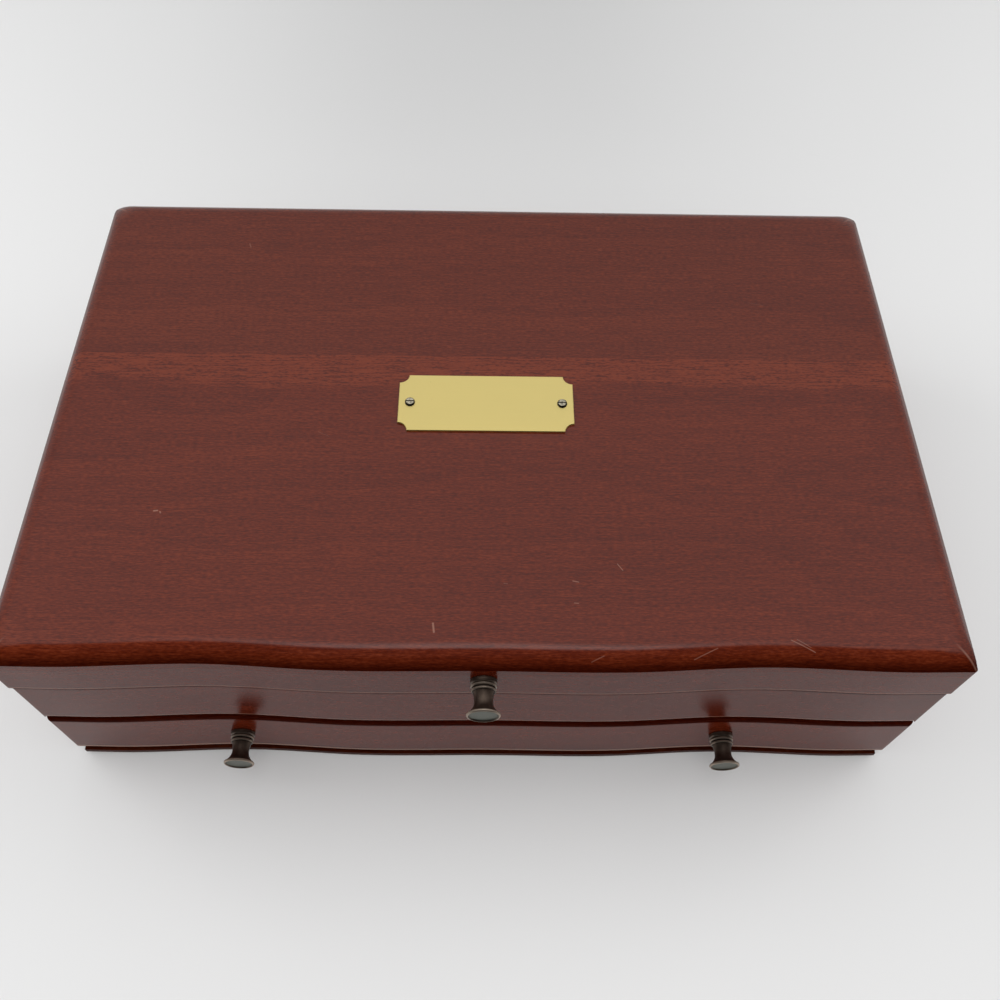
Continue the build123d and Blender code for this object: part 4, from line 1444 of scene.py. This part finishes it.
@dataclass(frozen=True)
class LidCushion:
    """Thin padded cloth under the lid, puffed out by a cloth simulation between its holds."""

    node: str = "lid_pad"
    strips: tuple[str, str] = ("knife_handle_strip", "knife_blade_strip")
    spacing: float = 5 * MM
    start_share: float = 0.7
    pressure: float = 4.0
    last_frame: int = 20
    most_puff: float = 1.6 * MM
    glued_share: float = 0.3
    tacked_rim: float = 2.5 * MM
    crease: float = 60.0

    def start_shape(self, low: np.ndarray, high: np.ndarray) -> Shape:
        """Closed pad a little thinner than its node, under the same top."""
        foot = np.array([low[0], low[1], high[2] - self.start_share * (high[2] - low[2])])
        radius = 0.45 * (high[2] - foot[2])
        return soft_slab(foot, high, radius, self.spacing)

    def held(self, points: np.ndarray, low: np.ndarray, high: np.ndarray) -> np.ndarray:
        """Which points are glued or tacked: the top, the rim and what the strips press on."""
        plan = points[:, :2]
        top = points[:, 2] > high[2] - self.glued_share * (high[2] - low[2])
        edge = np.minimum(plan - low[:2], high[:2] - plan).min(axis=1) < self.tacked_rim
        found = top | edge
        for strip in self.strips:
            near, far = (corner[:2] for corner in node_box(strip))
            found |= (plan > near - MM).all(axis=1) & (plan < far + MM).all(axis=1)
        return found

    def puffed(self, shape: Shape, held: np.ndarray) -> np.ndarray:
        """Points after the simulation; no point moves further than the most puff."""
        cloth = shape.placed("cushion_start")
        group = cloth.vertex_groups.new(name="held")
        group.add(np.flatnonzero(held).tolist(), 1.0, "REPLACE")
        motion = cloth.modifiers.new("puff", "CLOTH")
        settings = {
            "vertex_group_mass": "held",
            "quality": 6,
            "mass": 0.3,
            "tension_stiffness": 6,
            "compression_stiffness": 6,
            "bending_stiffness": 0.05,
            "use_pressure": True,
            "uniform_pressure_force": self.pressure,
        }
        for key, value in settings.items():
            setattr(motion.settings, key, value)
        motion.settings.effector_weights.gravity = 0.0
        motion.point_cache.frame_start = 1
        motion.point_cache.frame_end = self.last_frame
        scene = bpy.context.scene
        for number in range(1, self.last_frame + 1):
            scene.frame_set(number)
        done = cloth.evaluated_get(bpy.context.evaluated_depsgraph_get()).data
        points = np.empty(3 * len(done.vertices))
        done.vertices.foreach_get("co", points)
        scene.frame_set(1)
        bpy.data.objects.remove(cloth)
        move = points.reshape(-1, 3) - shape.points
        far = np.linalg.norm(move, axis=1, keepdims=True)
        log.info("cushion: moved by up to %.2f mm before the cap", far.max() / MM)
        return shape.points + move * np.minimum(1, self.most_puff / np.maximum(far, 1e-9))

    def build(self, cloth: Material) -> None:
        """Makes the pad, puffed by the cloth simulation."""
        low, high = node_box(self.node)
        shape = self.start_shape(low, high)
        shape.points = self.puffed(shape, self.held(shape.points, low, high))
        piece = make_piece(
            "lid_cushion", shape, Body.LID, cloth, self.node, self.crease
        )
        smooth = piece.modifiers.new("smooth", "SUBSURF")
        smooth.levels = smooth.render_levels = 1
        bake(piece)


@dataclass(frozen=True)
class TurnedKnob:
    """Turned knob: flange, two beads, a waisted stem and a recessed face with a raised rim."""

    length: float = 15.5 * MM
    head_r: float = 7.0 * MM
    waist_r: float = 3.85 * MM
    waist_at: float = 9.3 * MM
    flange_r: float = 5.6 * MM
    neck_r: float = 4.6 * MM
    bead: float = 0.65 * MM
    beads: tuple[tuple[float, float], ...] = ((2.9 * MM, 0.95 * MM), (4.6 * MM, 0.65 * MM))
    swell_power: float = 2.2
    sides: int = 72
    crease: float = 32.0

    def profile(self) -> np.ndarray:
        """Rows of (radius, distance from the seat).

        Beads are half ellipses. The stem's radius grows from the waist by a square towards the
        beads and by a steeper power towards the head.
        """
        half_turn = np.linspace(0, np.pi, 11)
        swell, travel = np.sin(half_turn), -np.cos(half_turn)
        first_edge = self.beads[0][0] - 2 * self.bead
        rows = [(AXIS_R, 0), (self.flange_r - 0.2 * MM, 0), (self.flange_r, 0.2 * MM)]
        rows += [(self.flange_r, first_edge - 0.15 * MM), (self.flange_r - 0.15 * MM, first_edge)]
        parts = [np.array(rows)]
        for at, stand in self.beads:
            parts.append(np.stack([self.neck_r + stand * swell, at + self.bead * travel], axis=1))
        start = self.beads[-1][0] + self.bead
        end = self.length - 2 * self.bead
        above = np.linspace(0, 1, 12)[1:]
        down = self.waist_r + (self.neck_r - self.waist_r) * (1 - above) ** 2
        parts.append(np.stack([down, start + (self.waist_at - start) * above], axis=1))
        grow = self.head_r - self.bead - self.waist_r
        up = self.waist_r + grow * above**self.swell_power
        parts.append(np.stack([up, self.waist_at + (end - self.waist_at) * above], axis=1))
        lip_r, lip_at = self.head_r - self.bead, self.length - self.bead
        parts.append(np.stack([lip_r + self.bead * swell, lip_at + self.bead * travel], axis=1)[1:])
        dish = self.head_r - 2 * self.bead
        face = [(dish + 0.25 * MM, lip_at + 0.25 * MM), (dish, lip_at + 0.02 * MM)]
        face += [(dish - 0.4 * MM, lip_at), (0.5 * dish, lip_at), (AXIS_R, lip_at)]
        parts.append(np.array(face))
        return np.vstack(parts)

    def build(self, node: str, body: Body) -> None:
        """Makes the knob on its node's axis."""
        low, high = node_box(node)
        middle = (low + high) / 2
        shape = revolved(self.profile(), self.sides)
        x, y, h = shape.points.T
        points = np.stack([middle[0] + x, high[1] - h, middle[2] + y], axis=1)
        centre = (float(middle[0]), float(middle[2]))
        finish = AntiqueBronze(f"bronze_{node}", centre, float(high[1]))
        shape = Shape(points, shape.faces).outward()
        name = f"turned_{node}"
        make_piece(name, shape, body, finish.material(), node, self.crease)


@dataclass(frozen=True)
class NamePlate:
    """Blank plate with scooped corners and a fine chamfer.

    Insets and drops are shares of the chamfer, from the plate's foot up to its face.
    """

    half_x: float = 40.5 * MM
    half_y: float = 16.0 * MM
    scoop: float = 4.4 * MM
    chamfer: float = 0.25 * MM
    insets: tuple[float, ...] = (0, 0, 0.12, 0.5, 1.0)
    drops: tuple[float, ...] = (1.05, 0.9, 0.45, 0.0)
    crease: float = 15.0

    def ring(self, inset: np.ndarray, z: np.ndarray) -> np.ndarray:
        """Outlines set in from the edge.

        Each corner is an arc round the corner's own point, its radius longer by the inset, cut
        where it meets the sides: sine of the first angle is inset over radius.
        """
        radius = self.scoop + inset[:, None]
        first = np.arcsin(inset[:, None] / radius)
        sweep = first + (np.pi / 2 - 2 * first) * np.linspace(0, 1, 12)
        parts = []
        for quarter, (sx, sy) in enumerate([(1, 1), (-1, 1), (-1, -1), (1, -1)]):
            angle = sweep if quarter % 2 else sweep[:, ::-1]
            x = sx * (self.half_x - radius * np.cos(angle))
            y = sy * (self.half_y - radius * np.sin(angle))
            parts.append(np.stack([x, y, z[:, None] + 0 * x], axis=-1))
        return np.concatenate(parts, axis=1)

    def build(self) -> None:
        """Makes the plate in its node's place."""
        low, high = node_box("name_plate")
        thick = high[2] - low[2]
        inset = np.array(self.insets) * self.chamfer
        z = np.append(0.0, thick - np.array(self.drops) * self.chamfer)
        shape = stacked(self.ring(inset, z))
        middle = (low + high) / 2
        shape.points = shape.points + (middle[0], middle[1], low[2])
        satin = BrushedBrass("satin_brass").material()
        make_piece("brass_plate", shape, Body.LID, satin, "name_plate", self.crease)


@dataclass(frozen=True)
class SmallMetal:
    """Hinges, screws and bolts, which keep their CAD shape."""

    hinge_brass: Colour = (0.60, 0.44, 0.16)

    def build(self) -> None:
        """Dresses the small metal pieces."""
        dress("plate_screws", PlateScrew("screw_brass").material())
        hinge = BrushedBrass("hinge_brass", self.hinge_brass, 0.4).material()
        for part in ("case_hinge_leaf", "lid_hinge_leaf", "hinge_pin"):
            dress(f"{part}_left", hinge)
            dress(f"{part}_right", hinge)
        dress("case_hinge_screws", hinge)
        dress("lid_hinge_screws", hinge)
        steel = BrightSteel("bolt_steel").material()
        dress("lid_knob_bolt", steel)
        dress("drawer_knob_bolts", steel)


# ---------------------------------------------------------------- studio
def aimed(right: np.ndarray, up: np.ndarray, back: np.ndarray, at: Sequence[float]) -> Matrix:
    """Matrix of something at a place that looks away from back, with its own right and up."""
    matrix = np.eye(4)
    matrix[:3, :3] = np.stack([right, up, back], axis=1)
    matrix[:3, 3] = at
    return Matrix(matrix.tolist())


@dataclass(frozen=True)
class Lamp:
    """Rectangular soft light that only shades: no gloss shows it. Metres and watts."""

    name: str
    at: Point
    aim: Point
    size: tuple[float, float]
    watts: float

    def build(self) -> None:
        """Sets the lamp up, with its sides level."""
        data = bpy.data.lights.new(self.name, "AREA")
        data.shape = "RECTANGLE"
        data.size, data.size_y = self.size
        data.energy = self.watts
        lamp = bpy.data.objects.new(self.name, data)
        back = np.array(self.at, float) - np.array(self.aim, float)
        back /= np.linalg.norm(back)
        side = np.cross((0, 0, 1), back)
        side /= np.linalg.norm(side)
        lamp.matrix_world = aimed(side, np.cross(back, side), back, self.at)
        lamp.visible_glossy = False
        bpy.context.scene.collection.objects.link(lamp)


@dataclass(frozen=True)
class Studio:
    """Pale floor, three soft lamps, a world brighter above, two dark cards and the camera."""

    focal: float = 970.0
    frame_width: float = 1000.0
    sensor: float = 36.0
    camera_at: Point = (-0.76 * MM, -277.4 * MM, 479.0 * MM)
    yaw: float = 1.843
    pitch: float = 58.266
    roll: float = 2.110
    floor_reach: float = 4.0
    floor_low: Colour = (0.77, 0.77, 0.77)
    floor_high: Colour = (0.81, 0.81, 0.81)
    card_black: Colour = (0.01, 0.01, 0.01)
    tent: tuple[Colour, Colour, Colour] = ((0.52,) * 3, (0.74,) * 3, (1.8,) * 3)
    tent_rise: Zone = (0.60, 0.82)
    tent_top: Zone = (0.955, 0.985)
    lamps: tuple[Lamp, ...] = (
        Lamp("left", (-0.95, 0.20, 0.8), (0.0, 0.1, 0.0), (0.8, 0.8), 4.3),
        Lamp("right", (0.95, 0.20, 0.8), (0.0, 0.1, 0.0), (0.8, 0.8), 3.3),
        Lamp("front", (0.0, -0.9, 1.25), (0.0, -0.2, 0.0), (1.2, 0.8), 3.7),
    )

    def camera(self) -> None:
        """Camera from its place and its yaw, pitch and roll in degrees; focal is in pixels."""
        yaw, pitch, roll = np.radians([self.yaw, self.pitch, self.roll])
        ahead = np.array([np.sin(yaw) * np.cos(pitch), np.cos(yaw) * np.cos(pitch), -np.sin(pitch)])
        level = np.array([np.cos(yaw), -np.sin(yaw), 0.0])
        over = np.cross(level, ahead)
        right = np.cos(roll) * level + np.sin(roll) * over
        up = np.cos(roll) * over - np.sin(roll) * level
        data = bpy.data.cameras.new("camera")
        data.sensor_width = self.sensor
        data.lens = self.focal * self.sensor / self.frame_width
        data.clip_start = 0.01
        eye = bpy.data.objects.new("camera", data)
        eye.matrix_world = aimed(right, up, -ahead, self.camera_at)
        bpy.context.scene.collection.objects.link(eye)
        bpy.context.scene.camera = eye

    def plane(self, name: str, corners: Sequence[Sequence[float]], s: Shader) -> Object:
        """Four-cornered plane of the studio."""
        plane = Shape(np.array(corners, float), [[0, 1, 2, 3]]).placed(name)
        plane.data.materials.append(s.material)
        return plane

    def floor(self) -> None:
        """Plain pale floor with the faintest unevenness."""
        s = Shader("studio_floor")
        cloud = s.noise(s.place(), (2.0, 2.0, 2.0), 2)
        colour = s.blend(self.floor_low, self.floor_high, cloud)
        s.finish({"Base Color": colour, "Roughness": 0.9, "Specular IOR Level": 0.1})
        r = self.floor_reach
        self.plane("floor", [(-r, -r, 0), (r, -r, 0), (r, r, 0), (-r, r, 0)], s)

    def card(self, name: str, corners: Sequence[Sequence[float]]) -> Object:
        """Dark card that the camera never sees."""
        s = Shader(name)
        s.finish({"Base Color": self.card_black, "Roughness": 1.0, "Specular IOR Level": 0.0})
        card = self.plane(name, corners, s)
        card.visible_camera = False
        return card

    def cards(self) -> None:
        """A dark reflection in front of the chest and a soft shade over the floor behind it."""
        y, low, high, half = -0.262, 0.0, 1.6, 1.5
        corners = [(-half, y, low), (half, y, low), (half, y, high), (-half, y, high)]
        dark_front = self.card("dark_front", corners)
        dark_front.visible_shadow = False
        dark_front.visible_diffuse = False
        x, near, far, z = 0.16, 0.28, 0.95, 0.42
        corners = [(-x, near, z), (x, near, z), (x, far, z), (-x, far, z)]
        self.card("overhead_flag", corners).visible_glossy = False

    def world(self) -> None:
        """Soft tent: brighter from half height up and brightest straight above."""
        s = Shader("tent", world=True)
        up = s.axis(s.node("ShaderNodeTexCoord", {}, {}, "Generated"), "Z")
        low, middle, top = self.tent
        level = s.blend(low, middle, up.step(*self.tent_rise))
        level = s.blend(level, top, up.step(*self.tent_top))
        bpy.context.scene.world = s.finish({"Color": level, "Strength": 1.0})

    def build(self) -> None:
        """Sets the whole studio up."""
        self.camera()
        self.floor()
        self.cards()
        self.world()
        for lamp in self.lamps:
            lamp.build()
        bpy.context.scene.view_settings.view_transform = "Standard"


def main() -> None:
    """Builds the chest's sub-assemblies in order, then the studio."""
    logging.basicConfig(level=logging.INFO, format="%(message)s")
    LidTop().build()
    for board in front_boards():
        board.build()
    CarriedWood().build()
    ClothFittings().build()
    TurnedKnob().build("lid_knob", Body.LID)
    TurnedKnob().build("drawer_knob_left", Body.DRAWER)
    TurnedKnob().build("drawer_knob_right", Body.DRAWER)
    NamePlate().build()
    SmallMetal().build()
    Studio().build()


if __name__ == "__main__":
    main()
